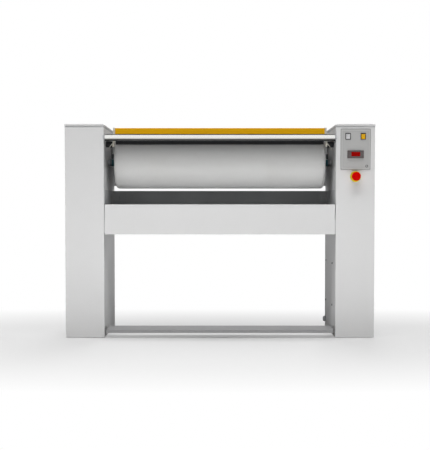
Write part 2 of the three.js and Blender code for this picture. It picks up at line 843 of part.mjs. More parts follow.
// ---------------------------------------------------------------- treadle, pull rod and spring
function crossBar(x0, x1) {
  const shape = rectangle(
    crossBarFront, crossBarFront + crossBarDepth,
    crossBarHeight - crossBarThickness / 2, crossBarHeight + crossBarThickness / 2,
  );
  return prismX(shape, x0, x1);
}

function pedalArm(side) {
  const armEnd = armX + armThickness;
  const hub = 2.25 * pivotPinRadius;
  const nose = [crossBarFront + crossBarDepth / 2, crossBarHeight];
  const parts = [
    prismX(linkShape(nose, crossBarThickness, pedalPivot, hub), armX, armEnd),
    rodX(pivotPinRadius, wallBackX + fit, armX + 1, pedalPivot),
    crossBar(wallX - treadEndGap - crossBarInset, armX + 1),
  ];
  if (side < 0) {
    const eye = [rodY, pedalPivot[1]];
    parts.push(prismX(linkShape(pedalPivot, hub, eye, 3 * linkPinRadius), armX, armEnd));
    parts.push(rodX(linkPinRadius, armEnd - 1, rodX0 + rodThickness + linkPinProud, eye, 16));
    parts.push(box(
      armX, armEnd, springPlace - springRadius, springPlace + springRadius,
      pedalPivotHeight - hub, springSeatHeight,
    ));
  }
  return join(...parts);
}

function mirroredSolid(body) {
  const { vertProperties, triVerts } = body.getMesh();
  const geometry = new THREE.BufferGeometry();
  geometry.setAttribute('position', new THREE.BufferAttribute(vertProperties, 3));
  geometry.setIndex(new THREE.BufferAttribute(triVerts, 1));
  return solid(geometry.scale(-1, 1, 1));
}

function pedal() {
  const half = wallX - treadEndGap;
  const rear = treadDepth - treadSheet;
  const path = [
    [treadDepth, treadRearHeight - treadRearFlange], [treadDepth, treadRearHeight],
    [0, treadFrontHeight], [0, treadLipBottom],
  ];
  const tread = prismX(foldedSheet(path, treadSheet), -half, half);
  const cheek = polygon([
    [treadSheet / 2, treadLipBottom + treadSheet], [rear, crossBarHeight - crossBarThickness / 2],
    [rear, treadRearHeight - treadSheet], [treadSheet / 2, treadFrontHeight - treadSheet / 2],
  ]);
  const cheeks = [-half, half - treadSheet].map((x) => prismX(cheek, x, x + treadSheet));
  return join(tread, ...cheeks, pedalArm(1), mirroredSolid(pedalArm(-1)));
}

function pullRod() {
  const ends = [[rodY, pedalPivot[1]], [rodY, chestPivot[1]]];
  const bar = prismX(linkShape(ends[0], rodHalfWidth, ends[1], rodHalfWidth), rodX0, rodX0 + rodThickness);
  const eyes = ends.map(
    (end) => rodX(linkPinRadius + runningFit, rodX0 - 1, rodX0 + rodThickness + 1, end, 20),
  );
  return cut(bar, ...eyes);
}

function pedalSpring() {
  const profile = tubeProfile(
    springSeatHeight + fit, springHookHeight - fit, springRadius, springRadius - springWire,
  );
  return latheZ(profile, [armX + armThickness / 2, springPlace], 20);
}

addNode('pedal', pedal(), greyPaint);
addNode('pull_rod', pullRod(), darkSteel, true);
addNode('pedal_spring', pedalSpring(), steel, true);

// ---------------------------------------------------------------- drive in the right pillar
function sprocket(centre, pitchRadius, teeth) {
  return prismX(sprocketShape(centre, pitchRadius, teeth), sprocketX, sprocketX + sprocketThickness);
}

function rollerSprocket() {
  const hubEnd = sprocketX + sprocketThickness + sprocketHubBack;
  const hub = rodX(sprocketHubRadius, sprocketX - sprocketHubFront, hubEnd, rollerAxis);
  const bore = rodX(shaftRadius + fit, wallX, hubEnd + 1, rollerAxis);
  return cut(join(sprocket(rollerAxis, rollerPitchRadius, rollerTeeth), hub), bore);
}

function motorSprocket() {
  const shaftX = sprocketX - motorShaftInset;
  const shaft = rodX(motorShaftRadius, shaftX, shaftX + motorShaftLength, motorAxis);
  return join(sprocket(motorAxis, motorPitchRadius, motorTeeth), shaft);
}

function driveChain() {
  const grow = (extra) => linkShape(
    rollerAxis, rollerPitchRadius + toothHeight + extra, motorAxis, motorPitchRadius + toothHeight + extra,
  );
  return prismX(grow(2 * fit + chainBand), sprocketX, sprocketX + sprocketThickness, [grow(2 * fit)], 8);
}

function gearMotor() {
  const [y, z] = motorAxis;
  const plateX = wallBackX + fit;
  const bridgeX = wallX + motorBridgeOffset;
  const gearboxX = bridgeX + motorBridgeThickness;
  const y0 = motorBoltFront - motorPlateMargin;
  const y1 = motorBoltRear + motorPlateMargin;
  const z0 = motorBoltBottom - motorPlateMargin;
  const z1 = motorBoltTop + motorPlateMargin;
  const half = gearboxSide / 2;
  const cheeks = [y0, y1 - motorBridgeThickness].map(
    (side) => box(plateX, gearboxX, side, side + motorBridgeThickness, z0, z1),
  );
  const body = join(
    box(plateX, plateX + motorPlateThickness, y0, y1, z0, z1), ...cheeks,
    box(bridgeX, gearboxX, y0, y1, z0, z1),
    box(gearboxX - 1, gearboxX + gearboxLength, y - half, y + half, z - half, z + half),
    latheZ(
      rodProfile(z - half - motorLength, z - half + 1, motorRadius), [gearboxX + gearboxLength / 2, y], 40,
    ),
  );
  const shaftEnd = sprocketX - motorShaftInset + motorShaftLength;
  const bolts = motorBoltPlaces().map(
    (place) => rodX(motorBoltRadius + fit, plateX - 1, plateX + motorPlateThickness + 1, place, 16),
  );
  return cut(body, rodX(motorShaftRadius + fit, bridgeX - 1, shaftEnd + fit, motorAxis), ...bolts);
}

function motorScrew(place) {
  const seat = wallX - fit;
  return latheX(
    [[seat - motorBoltHead, 0], [seat - motorBoltHead, motorBoltHeadRadius], [seat, motorBoltHeadRadius],
      [seat, motorBoltRadius], [wallBackX + motorPlateThickness, motorBoltRadius],
      [wallBackX + motorPlateThickness, 0]],
    place, 16,
  );
}

addNode('roller_sprocket', rollerSprocket(), darkSteel);
addNode('motor_sprocket', motorSprocket(), darkSteel);
addNode('drive_chain', driveChain(), darkSteel);
addNode('gear_motor', gearMotor(), greyPaint);
motorBoltPlaces().forEach((place, i) => addNode(`motor_screw_${i + 1}`, motorScrew(place), darkSteel));

// ---------------------------------------------------------------- controls on the right pillar
// A box centred on (x, z), between two depths.
function block([x, z], width, height, y0, y1) {
  return box(x - width / 2, x + width / 2, y0, y1, z - height / 2, z + height / 2);
}

function controlCutouts(y0, y1) {
  const rockers = rockerPlaces.map((place) => block(
    place, rockerBodyWidth + 2 * fit, rockerBodyHeight + 2 * fit, y0, y1,
  ));
  return [
    ...rockers,
    block(controllerPlace, controllerBodyWidth + 2 * fit, controllerBodyHeight + 2 * fit, y0, y1),
    latheY(rodProfile(y0, y1, estopBarrelRadius + fit), estopPlace),
  ];
}

function controlPanel() {
  const plate = block([pillarMiddle, panelTop - panelHeight / 2], panelWidth, panelHeight, panelFrontY, -fit);
  return cut(plate, ...controlCutouts(panelFrontY - 1, 1));
}

function rockerHousing(place) {
  const bezelFront = panelFrontY - fit - rockerBezelThickness;
  return cut(
    join(
      block(place, rockerBezelWidth, rockerBezelHeight, bezelFront, panelFrontY - fit),
      block(place, rockerBodyWidth, rockerBodyHeight, panelFrontY - fit - 1, rockerBodyDepth),
    ),
    block(place, rockerPocketWidth, rockerPocketHeight, bezelFront - 1, rockerPocketDepth),
  );
}

// Two faces that meet in a shallow valley, turned about a pin along X.
function rocker([x, z]) {
  const h = rockerHalfHeight;
  const valley = rockerProud - h * Math.tan(THREE.MathUtils.degToRad(rockerTilt));
  const shape = polygon([[0, -h], [h / 2, 0], [0, h], [-rockerProud, h], [-valley, 0], [-rockerProud, -h]]);
  const geometry = extruded(shape, rockerWidth).applyMatrix4(ALONG_X);
  geometry.translate(-rockerWidth / 2, 0, 0).rotateX(THREE.MathUtils.degToRad(rockerTilt));
  return solid(geometry.translate(x, panelFrontY + rockerPivotDepth, z));
}

function controller() {
  const seat = panelFrontY - fit;
  const bezelFront = seat - controllerBezelThickness;
  return join(
    block(controllerPlace, controllerBezelWidth, controllerBezelHeight, bezelFront, seat),
    block(controllerPlace, controllerBodyWidth, controllerBodyHeight, seat - 1, controllerBodyDepth),
  );
}

const estopStemFrontY = estopCapBackY - estopCapDepth / 2;

function estopCollar() {
  const r = estopCollarRadius;
  const bore = estopStemRadius + runningFit;
  return latheY(
    [[-fit, r], [-estopCollarDepth * 0.4, r], [-estopCollarDepth, r * 0.86], [-estopCollarDepth, bore],
      [estopBarrelDepth, bore], [estopBarrelDepth, estopBarrelRadius], [-fit, estopBarrelRadius], [-fit, r]],
    estopPlace, 32,
  );
}

function estopStem() {
  const profile = rodProfile(estopStemFrontY + fit, estopBarrelDepth + estopTravel, estopStemRadius);
  return latheY(profile, estopPlace, 20);
}

function estopCap() {
  const r = estopCapRadius;
  const bore = estopStemRadius + fit;
  const steps = 5;
  const crown = Array.from({ length: steps + 1 }, (unused, i) => {
    const angle = (Math.PI / 2) * (i / steps);
    const along = estopCapFrontY + estopCapRound * (1 - Math.sin(angle));
    return [along, r - estopCapRound * (1 - Math.cos(angle))];
  });
  return latheY(
    [[estopStemFrontY, 0], [estopStemFrontY, bore], [estopCapBackY, bore], [estopCapBackY, r * 0.8],
      [estopCapBackY - estopCapDepth / 3, r], ...crown, [estopCapFrontY, 0]],
    estopPlace, 32,
  );
}

addNode('control_panel', controlPanel(), panelGrey);
['left', 'right'].forEach((name, i) => {
  addNode(`rocker_housing_${name}`, rockerHousing(rockerPlaces[i]), blackPlastic);
});
addNode('rocker_left', rocker(rockerPlaces[0]), whitePlastic);
addNode('rocker_right', rocker(rockerPlaces[1]), amber);
addNode('controller', controller(), blackPlastic);
addNode('estop_collar', estopCollar(), signalYellow);
addNode('estop_stem', estopStem(), blackPlastic);
addNode('estop_cap', estopCap(), signalRed);

// ---------------------------------------------------------------- cord inlet and contactors
function glandPlace() {
  return [glandBack, glandHeight];
}

function cableGland() {
  const seat = wallX - fit;
  const nutX = wallBackX + fit;
  const end = wallBackX + glandThreadLength;
  return latheX(
    [[seat - glandDomeLength, glandBoreRadius], [seat - glandDomeLength, glandDomeRadius * 0.7],
      [seat - glandDomeLength * 0.6, glandDomeRadius], [seat, glandDomeRadius], [seat, glandThreadRadius],
      [nutX, glandThreadRadius], [nutX, glandNutRadius], [nutX + glandNutLength, glandNutRadius],
      [nutX + glandNutLength, glandThreadRadius], [end, glandThreadRadius], [end, glandBoreRadius],
      [seat - glandDomeLength, glandBoreRadius]],
    glandPlace(), 18,
  );
}

function contactorBlock() {
  const x0 = wallBackX + fit;
  const plateEnd = x0 + contactorPlateThickness;
  const y0 = contactorPlace;
  const z0 = contactorHeight;
  const gap = (contactorPlateDepth - contactorBlocks * contactorBlockWidth) / (contactorBlocks + 1);
  const blocks = Array.from({ length: contactorBlocks }, (unused, i) => {
    const y = y0 + gap + i * (contactorBlockWidth + gap);
    const z = z0 + (contactorPlateHeight - contactorBlockHeight) / 2;
    const x1 = plateEnd + contactorBlockDepth;
    return box(plateEnd - 1, x1, y, y + contactorBlockWidth, z, z + contactorBlockHeight);
  });
  return join(box(x0, plateEnd, y0, y0 + contactorPlateDepth, z0, z0 + contactorPlateHeight), ...blocks);
}

addNode('cable_gland', cableGland(), greyPaint);
addNode('contactor_block', contactorBlock(), greyPaint, true);

// The origin is on the floor under the middle of the whole part.
machine.position.y = -(frontReach + rearReach) / 2;

export default machine;
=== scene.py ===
"""Looks of a flatwork ironer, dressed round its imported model.

Metres throughout: +X is the machine's right seen from the front, +Y points to the back, +Z is up.
New surfaces are worked out with numpy as whole arrays, and every finish is made of shader nodes.
"""

import json
import math

import bmesh
import bpy
import numpy as np
from bpy.props import FloatProperty, FloatVectorProperty, IntProperty, PointerProperty
from bpy.types import Operator, Panel, PropertyGroup
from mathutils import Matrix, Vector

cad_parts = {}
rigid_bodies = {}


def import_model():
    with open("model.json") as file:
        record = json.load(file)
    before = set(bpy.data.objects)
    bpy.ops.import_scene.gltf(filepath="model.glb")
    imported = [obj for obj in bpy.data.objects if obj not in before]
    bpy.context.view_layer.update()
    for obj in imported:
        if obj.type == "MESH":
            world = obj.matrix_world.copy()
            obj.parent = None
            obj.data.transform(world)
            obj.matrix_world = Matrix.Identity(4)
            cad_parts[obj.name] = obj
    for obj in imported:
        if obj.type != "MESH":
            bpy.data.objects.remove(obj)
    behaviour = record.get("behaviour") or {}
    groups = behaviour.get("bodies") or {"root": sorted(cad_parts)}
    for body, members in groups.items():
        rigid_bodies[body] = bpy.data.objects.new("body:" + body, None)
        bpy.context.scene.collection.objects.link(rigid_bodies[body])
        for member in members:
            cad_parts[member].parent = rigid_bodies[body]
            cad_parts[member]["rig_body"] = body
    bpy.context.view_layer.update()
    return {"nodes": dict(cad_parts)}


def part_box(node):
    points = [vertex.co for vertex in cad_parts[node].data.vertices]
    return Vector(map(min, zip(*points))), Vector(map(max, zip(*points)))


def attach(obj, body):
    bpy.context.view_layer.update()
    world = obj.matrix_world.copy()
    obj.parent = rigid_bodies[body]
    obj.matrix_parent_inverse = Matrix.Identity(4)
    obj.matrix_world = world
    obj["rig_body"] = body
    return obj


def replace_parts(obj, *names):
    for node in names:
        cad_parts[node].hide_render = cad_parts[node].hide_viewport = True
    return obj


bl_info = {
    "name": "Flatwork ironer looks",
    "version": (1, 0, 0),
    "blender": (4, 5, 0),
    "location": "3D View > Sidebar > Ironer",
    "description": "Dresses the packed model of a flatwork ironer and sets its stage",
    "category": "Object",
}

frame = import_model()
MM = 0.001
SIDES = {"right": 1.0, "left": -1.0}
EVEN = (1.0, 1.0, 1.0)
SPECULAR = "Specular IOR Level"


def linear(red, green, blue):
    """Linear colour of a display colour given from 0 to 255."""
    c = np.array((red, green, blue)) / 255.0
    return tuple(np.where(c <= 0.04045, c / 12.92, ((c + 0.055) / 1.055) ** 2.4).tolist())


def span(node):
    """Lowest and highest corner of a CAD node, as arrays."""
    low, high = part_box(node)
    return np.array(low), np.array(high)


def round_node(node):
    """Axis (y, z), radius, and lowest and highest x of a CAD node that is round about x."""
    low, high = span(node)
    return (low[1:] + high[1:]) / 2, (high[2] - low[2]) / 2, low[0], high[0]


# ---------------------------------------------------------------- what a user would change
def length(name, description, default, low=0.0, high=1.0):
    """A length in metres, with its range."""
    return FloatProperty(
        name=name, description=description, default=default, min=low, max=high, precision=5,
        subtype="DISTANCE", unit="LENGTH",
    )


def colour(name, description, *display):
    """A colour, given as it displays, from 0 to 255."""
    return FloatVectorProperty(
        name=name, description=description, default=linear(*display), size=3, min=0.0, max=1.0,
        subtype="COLOR",
    )


class IRONER_PG_sizes(PropertyGroup):
    sheet_edge: length("Sheet edge", "Rounding of folded sheet metal", 1.1 * MM, 0.0, 2 * MM)
    small_edge: length("Small edge", "Rounding of brackets and controls", 0.6 * MM, 0.0, 2 * MM)
    bend: length("Bend", "Outer radius of a fold in thin sheet", 3.2 * MM, 0.5 * MM, 10 * MM)
    cloth: length("Cloth", "Thickness of the roller's cotton cloth", 2.4 * MM, 0.5 * MM, 4 * MM)
    cloth_overlap: length("Cloth overlap", "Width of the cloth's wound overlap", 34 * MM, 0.0, 0.1)
    cloth_gather: length("Cloth gather", "Depth of the gathers at its ends", 0.9 * MM, 0.0, 3 * MM)
    quilt: length("Quilt", "Spacing of the chest blanket's quilting", 125 * MM, 0.02, 0.5)
    thread: length("Thread", "Pitch of the cotton's weave", 1.3 * MM, 0.3 * MM, 5 * MM)
    panel_border: length("Panel border", "Width of the panel's pale border", 9.5 * MM, 0.0, 0.02)
    camera_distance: length("Camera distance", "Camera to the front plane", 4.2, 1.0, 20.0)
    camera_height: length("Camera height", "Camera above the floor", 0.612, 0.0, 5.0)
    round_sides: IntProperty(
        name="Round sides", description="Sides of a turned piece", default=72, min=12, max=256,
    )


class IRONER_PG_colours(PropertyGroup):
    light_paint: colour("Light paint", "Powder coat of the pillars and the apron", 214, 214, 214)
    grey_paint: colour("Grey paint", "Powder coat of the treadle and feed plate", 158, 158, 159)
    tray_paint: colour("Tray paint", "Paint of the tray and bands under the lids", 190, 191, 192)
    yellow_paint: colour("Yellow paint", "Paint of the finger guard", 255, 192, 26)
    motor_paint: colour("Motor paint", "Paint of the gearmotor", 96, 104, 112)
    cotton: colour("Cotton", "Cloth on the roller", 232, 232, 231)
    felt: colour("Felt", "Padding under the cloth", 166, 158, 140)
    steel: colour("Steel", "Ground steel", 186, 188, 191)
    dark_steel: colour("Dark steel", "Oiled steel", 112, 115, 118)
    element: colour("Element", "Scaled metal of the heating elements", 96, 84, 76)
    chrome: colour("Chrome", "Bright plating of the feed bar", 238, 238, 235)
    foil: colour("Foil", "Facing of the chest blanket", 201, 204, 208)
    rubber: colour("Rubber", "Black rubber and plastic", 38, 38, 40)
    bezel: colour("Bezel", "Case of the controller", 92, 85, 85)
    teal: colour("Teal", "Shaft collars", 31, 74, 82)
    pale_plastic: colour("Pale plastic", "Arms and claws of the finger guard", 220, 217, 205)
    grey_plastic: colour("Grey plastic", "Gland, slot plugs and contactors", 172, 174, 176)
    panel: colour("Panel", "Control panel", 174, 174, 173)
    white: colour("White", "White rocker", 205, 205, 207)
    amber: colour("Amber", "Amber rocker", 220, 166, 22)
    signal_red: colour("Signal red", "Emergency stop", 200, 7, 4)
    signal_yellow: colour("Signal yellow", "Emergency stop's collar", 205, 184, 12)
    display: colour("Display", "Controller's red window", 158, 8, 5)


def sizes():
    return bpy.context.scene.ironer_sizes


def colours():
    return bpy.context.scene.ironer_colours


# ---------------------------------------------------------------- surfaces
def full_turn(sides):
    """Angles of so many points spread evenly round a circle."""
    return np.linspace(0, 2 * math.pi, sides, endpoint=False)


def circle(turn):
    """(cosine, sine) of each angle: points of a circle of radius 1."""
    return np.stack([np.cos(turn), np.sin(turn)], -1)


def unit(vectors):
    """Each vector divided by its length."""
    lengths = np.linalg.norm(vectors, axis=-1, keepdims=True)
    return vectors / np.maximum(lengths, 1e-12)


def bent(start, corner, end, t):
    """Quadratic curve (1-t)^2 A + 2t(1-t) C + t^2 B from a start A to an end B by a corner C."""
    return (1 - t) ** 2 * start + 2 * t * (1 - t) * corner + t**2 * end


def clean_mesh(mesh, closed=True, whole_faces=False):
    """Merges points that fall together, joins the facets of a plane into one face where whole
    faces are asked for, and turns the faces of a closed surface outwards."""
    work = bmesh.new()
    work.from_mesh(mesh)
    bmesh.ops.remove_doubles(work, verts=work.verts, dist=1e-6)
    if whole_faces:
        bmesh.ops.dissolve_limit(
            work, angle_limit=math.radians(0.5), verts=work.verts, edges=work.edges,
        )
    if closed:
        bmesh.ops.recalc_face_normals(work, faces=work.faces)
    work.to_mesh(mesh)
    work.free()


def link_piece(name, mesh, angle):
    """A new object for a mesh, shaded smooth but for edges sharper than an angle."""
    mesh.shade_smooth()
    mesh.set_sharp_from_angle(angle=math.radians(angle))
    piece = bpy.data.objects.new(name, mesh)
    bpy.context.scene.collection.objects.link(piece)
    return piece


def grid_faces(rows, columns, wrap_rows, wrap_columns):
    """Quads of a grid of points, row by row; a wrapped side joins its last line to its first."""
    i, j = np.meshgrid(
        np.arange(rows - (not wrap_rows)), np.arange(columns - (not wrap_columns)), indexing="ij",
    )
    nexti, nextj = (i + 1) % rows, (j + 1) % columns
    quads = [i * columns + j, nexti * columns + j, nexti * columns + nextj, i * columns + nextj]
    return np.stack(quads, -1).reshape(-1, 4)


def make_piece(name, points, wrap=(False, False), ends=False, uv=None, closed=True, angle=35.0):
    """Mesh object from points on a grid, shape (rows, columns, 3), or several such grids stacked.

    Points that fall together are merged, so a pole or a seam closes. With ends, the first and the
    last row become flat faces. A closed surface has its faces turned outwards."""
    points = np.asarray(points, float)
    grids = points.reshape(-1, *points.shape[-3:])
    count, rows, columns = grids.shape[:3]
    base = grid_faces(rows, columns, *wrap)
    step = np.arange(count)[:, None, None] * rows * columns
    faces = (base[None] + step).reshape(-1, 4).tolist()
    if ends:
        first = np.arange(columns)[::-1]
        last = (rows - 1) * columns + np.arange(columns)
        for cap in (first, last):
            faces += (cap[None] + step[:, :, 0]).tolist()
    mesh = bpy.data.meshes.new(name)
    mesh.from_pydata(grids.reshape(-1, 3).tolist(), [], faces)
    if uv is not None:
        corner = np.empty(len(mesh.loops), np.int32)
        mesh.loops.foreach_get("vertex_index", corner)
        layer = mesh.uv_layers.new(name="Cloth")
        layer.data.foreach_set("uv", np.asarray(uv, np.float32).reshape(-1, 2)[corner].ravel())
    clean_mesh(mesh, closed)
    return link_piece(name, mesh, angle)


def soften(piece, width, segments=2, angle=40.0):
    """Rounds the edges sharper than an angle with a Bevel modifier."""
    bevel = piece.modifiers.new("Rounded edges", "BEVEL")
    bevel.width, bevel.segments = width, segments
    bevel.limit_method, bevel.angle_limit = "ANGLE", math.radians(angle)
    bevel.harden_normals = True
    return piece


def round_corners(corners, radius, closed=True, steps=6):
    """Replaces each corner by a quadratic curve between the points one radius before and after
    it."""
    c = np.asarray(corners, float)
    r = np.broadcast_to(np.asarray(radius, float), len(c))[:, None]
    a = c + unit(np.roll(c, 1, 0) - c) * r
    b = c + unit(np.roll(c, -1, 0) - c) * r
    t = np.linspace(0, 1, steps + 1)[None, :, None]
    arcs = bent(a[:, None], c[:, None], b[:, None], t)
    if closed:
        return arcs.reshape(-1, 2)
    return np.concatenate([c[:1], arcs[1:-1].reshape(-1, 2), c[-1:]])


def sheet_outline(path, thickness):
    """Closed outline of a bent sheet: along the path, and back one thickness to its left."""
    along = np.gradient(path, axis=0)
    left = unit(np.stack([-along[:, 1], along[:, 0]], -1))
    return np.concatenate([path, (path + left * thickness)[::-1]])


def carried_along_x(name, outline, start, end):
    """A closed (y, z) outline carried straight along x, with a flat face at each end."""
    points = np.empty((2, len(outline), 3))
    points[..., 0] = np.array([[start], [end]])
    points[..., 1:] = outline
    return make_piece(name, points, (False, True), ends=True)


def turned_points(profile, centre, axis, sides, squareness=0.0):
    """A profile of (place along the axis, radius) turned round an axis: the two other coordinates
    are the radius times the cosine and sine of the angle. With squareness, the radius drops between
    six corners, by the cosine of half a flat over the cosine of the angle to the middle of the
    nearest flat, which gives a nut."""
    turn, flat = full_turn(sides), math.pi / 3
    nearest = (turn + flat / 2) % flat - flat / 2
    reach = (1 - squareness) + squareness * math.cos(flat / 2) / np.cos(nearest)
    place, radius = np.asarray(profile, float).T
    ring = radius[:, None] * reach[None]
    coordinates = [None, None, None]
    first, second = [i for i in range(3) if i != "xyz".index(axis)]
    coordinates["xyz".index(axis)] = np.repeat(place[:, None], sides, 1)
    coordinates[first] = centre[0] + ring * np.cos(turn)
    coordinates[second] = centre[1] + ring * np.sin(turn)
    return np.stack(coordinates, -1)


def turned_piece(name, profile, centre, axis="x", loop=False, angle=35.0, **shape):
    """A turned piece; a loop profile is a ring, and any other starts and ends on the axis."""
    shape.setdefault("sides", sizes().round_sides)
    points = turned_points(profile, centre, axis, **shape)
    return make_piece(name, points, (loop, True), angle=angle)


def rounded_rectangle(centre, half_width, half_height, radius, steps=6):
    """Outline of a rectangle with rounded corners, anticlockwise."""
    signs = np.array([[-1, -1], [1, -1], [1, 1], [-1, 1]])
    corners = np.asarray(centre) + signs * np.array([half_width, half_height])
    return round_corners(corners, min(radius, half_width, half_height), True, steps)


def stacked_piece(name, centre, sections, angle=35.0):
    """Rounded rectangles (half width, half height, corner radius, y) joined one after another, the
    first and the last closed by flat faces."""
    rows = []
    for half_width, half_height, radius, y in sections:
        outline = rounded_rectangle(centre, half_width, half_height, radius)
        rows.append(np.insert(outline, 1, y, axis=1))
    return make_piece(name, np.stack(rows), (False, True), ends=True, angle=angle)


def dome_screw(radius, height):
    """(place, radius) profile of a domed screw head with a sunk drive, from its seat outwards."""
    t = np.linspace(0, 1, 7)
    side = np.stack([height * t**0.6, radius * np.sqrt(1 - 0.75 * t**2)], -1)
    drive, sunk = radius * 0.5, height * 0.45
    socket = [[height, drive], [sunk, drive * 0.9], [sunk, 0.0]]
    return np.concatenate([[[0.0, 0.0]], side, socket])


def screw_row(name, places, radius, height, axis, outward, **shape):
    """Several like screw heads in one mesh, each at a place on its seat."""
    profile = dome_screw(radius, height)
    profile[:, 0] *= outward
    head = turned_points(profile, (0.0, 0.0), axis, 20, **shape)
    return make_piece(name, np.asarray(places)[:, None, None] + head[None], (False, True))


# ---------------------------------------------------------------- finishes
class Nodes:
    """Short calls that add shader nodes to a tree and link them."""

    def __init__(self, tree):
        self.nodes, self.links = tree.nodes, tree.links

    def fill(self, node, inputs):
        """Sets a node's inputs: a socket is linked, and anything else is a constant."""
        for key, value in inputs.items():
            if isinstance(value, bpy.types.NodeSocket):
                self.links.new(value, node.inputs[key])
            elif value is not None:
                node.inputs[key].default_value = value
        return node

    def add(self, kind, inputs=None, **settings):
        node = self.nodes.new("ShaderNode" + kind)
        for key, value in settings.items():
            setattr(node, key, value)
        return self.fill(node, inputs or {})

    def place(self, stretch=EVEN, source="Object"):
        """Coordinates on the piece, stretched."""
        where = self.add("TexCoord").outputs[source]
        return self.add("Mapping", {"Vector": where, "Scale": stretch}).outputs[0]

    def axis(self, letter):
        """One of the piece's own coordinates, X, Y or Z."""
        split = self.add("SeparateXYZ", {0: self.place()})
        return split.outputs["XYZ".index(letter)]

    def noise(self, scale, detail=2.0, stretch=EVEN, source="Object"):
        inputs = {"Vector": self.place(stretch, source), "Scale": scale, "Detail": detail}
        return self.add("TexNoise", inputs).outputs[0]

    def cells(self, scale, output, **settings):
        """An output of a pattern of cells of uneven size."""
        inputs = {"Vector": self.place(), "Scale": scale}
        return self.add("TexVoronoi", inputs, **settings).outputs[output]

    def maths(self, operation, first, second=None):
        return self.add("Math", {0: first, 1: second}, operation=operation).outputs[0]

    def remap(self, value, start, end, low=0.0, high=1.0, smooth=False):
        """Takes a value from the range start to end into the range low to high, and no further."""
        inputs = {"Value": value, 1: start, 2: end, 3: low, 4: high}
        kind = "SMOOTHSTEP" if smooth else "LINEAR"
        return self.add("MapRange", inputs, interpolation_type=kind).outputs[0]


class Finish(Nodes):
    """One material: a Principled surface, and short calls that add procedural detail to it."""

    def __init__(self, name, base, roughness, metallic=0.0, **constants):
        self.material = bpy.data.materials.new(name)
        self.material.use_nodes = True
        super().__init__(self.material.node_tree)
        self.surface = self.nodes["Principled BSDF"]
        self.base = (*base, 1.0)
        self.rough = roughness
        self.fill(self.surface, {"Base Color": self.base, "Roughness": roughness})
        self.fill(self.surface, {"Metallic": metallic, **constants})

    def blend(self, factor, other):
        """Mixes another colour into the surface's colour so far."""
        node = self.add("Mix", data_type="RGBA")
        self.fill(node, {0: factor, 6: self.base, 7: (*other, 1.0)})
        self.base = node.outputs[2]
        self.links.new(self.base, self.surface.inputs["Base Color"])
        return self

    def stain(self, pattern, start, end, amount, other):
        """Mixes a colour in by up to an amount, where a pattern rises from start to end."""
        return self.blend(self.remap(pattern, start, end, 0.0, amount), other)

    def mottle(self, scale, amount, detail=3.0, stretch=EVEN):
        """Darkens the colour by up to an amount where a noise is low."""
        patch = self.remap(self.noise(scale, detail, stretch), 0.3, 0.7, amount, 0.0)
        return self.blend(patch, (0.0, 0.0, 0.0))

    def gloss(self, scale, spread, detail=2.0, stretch=EVEN):
        """Lets the roughness wander round its value."""
        low, high = self.rough - spread, self.rough + spread
        wander = self.remap(self.noise(scale, detail, stretch), 0.3, 0.7, low, high)
        self.links.new(wander, self.surface.inputs["Roughness"])
        return self

    def relief(self, height, depth):
        """Adds a bump of so many metres on top of the bumps so far."""
        under = self.surface.inputs["Normal"]
        before = under.links[0].from_socket if under.links else None
        node = self.add("Bump", {"Height": height, "Distance": depth, "Normal": before})
        self.links.new(node.outputs[0], under)
        return self

    def dust(self, height, amount):
        """Dusty film that is thickest at the floor and gone at a height."""
        near = self.remap(self.axis("Z"), 0.0, height, amount, 0.0, smooth=True)
        broken = self.remap(self.noise(9.0, 4.0), 0.25, 0.75, 0.4, 1.0)
        return self.blend(self.maths("MULTIPLY", near, broken), (0.36, 0.34, 0.31))


def powder_coat(name, base, roughness=0.5, peel=0.05 * MM):
    """Powder coat: orange peel, a faint unevenness of tone and gloss, and dust near the floor."""
    coat = Finish(name, base, roughness, **{SPECULAR: 0.01})
    coat.mottle(3.0, 0.03).mottle(420.0, 0.02, 1.0).dust(0.16, 0.07)
    coat.gloss(14.0, 0.05)
    return coat.relief(coat.noise(520.0, 1.0), peel)


def light_paint(name):
    return powder_coat(name, colours().light_paint)


def grey_paint(name):
    """Powder coat with pale scuffs drawn out along x."""
    coat = powder_coat(name, colours().grey_paint, 0.4)
    scuffs = coat.noise(60.0, 5.0, (0.15, 1.0, 1.0))
    return coat.stain(scuffs, 0.62, 0.7, 0.12, (0.25, 0.25, 0.25))


def tray_paint(name):
    """Powder coat with specks of lint."""
    coat = powder_coat(name, colours().tray_paint, 0.5, 0.04 * MM)
    return coat.stain(coat.noise(700.0, 4.0), 0.68, 0.75, 0.2, (0.6, 0.6, 0.58))


def yellow_paint(name):
    """Powder coat, a little soiled where it is handled."""
    coat = powder_coat(name, colours().yellow_paint, 0.38)
    handled = coat.noise(7.0, 4.0, (0.6, 1.0, 1.0))
    return coat.stain(handled, 0.5, 0.75, 0.05, (0.3, 0.2, 0.03))


def motor_paint(name):
    """Thick paint on a casting."""
    coat = powder_coat(name, colours().motor_paint, 0.5, 0.12 * MM)
    return coat.relief(coat.noise(160.0, 3.0), 0.15 * MM)


def ground_metal(name, base, roughness, along, streaks=900.0, depth=0.01 * MM):
    """Metal ground in one direction: streaks drawn out along it in tone, gloss and relief."""
    metal = Finish(name, base, roughness, 1.0)
    stretch = tuple(0.02 if letter == along else 1.0 for letter in "XYZ")
    metal.mottle(streaks, 0.1, 2.0, stretch).mottle(5.0, 0.06, 4.0)
    metal.gloss(streaks * 0.6, 0.08, 2.0, stretch)
    return metal.relief(metal.noise(streaks, 2.0, stretch), depth)


def steel(name):
    return ground_metal(name, colours().steel, 0.32, "X")


def pressing_steel(name):
    """Finely ground steel with a brown tinge from its heat."""
    metal = ground_metal(name, colours().steel, 0.2, "Y", 500.0, 0.005 * MM)
    return metal.stain(metal.noise(3.5, 3.0), 0.45, 0.75, 0.35, (0.42, 0.31, 0.16))


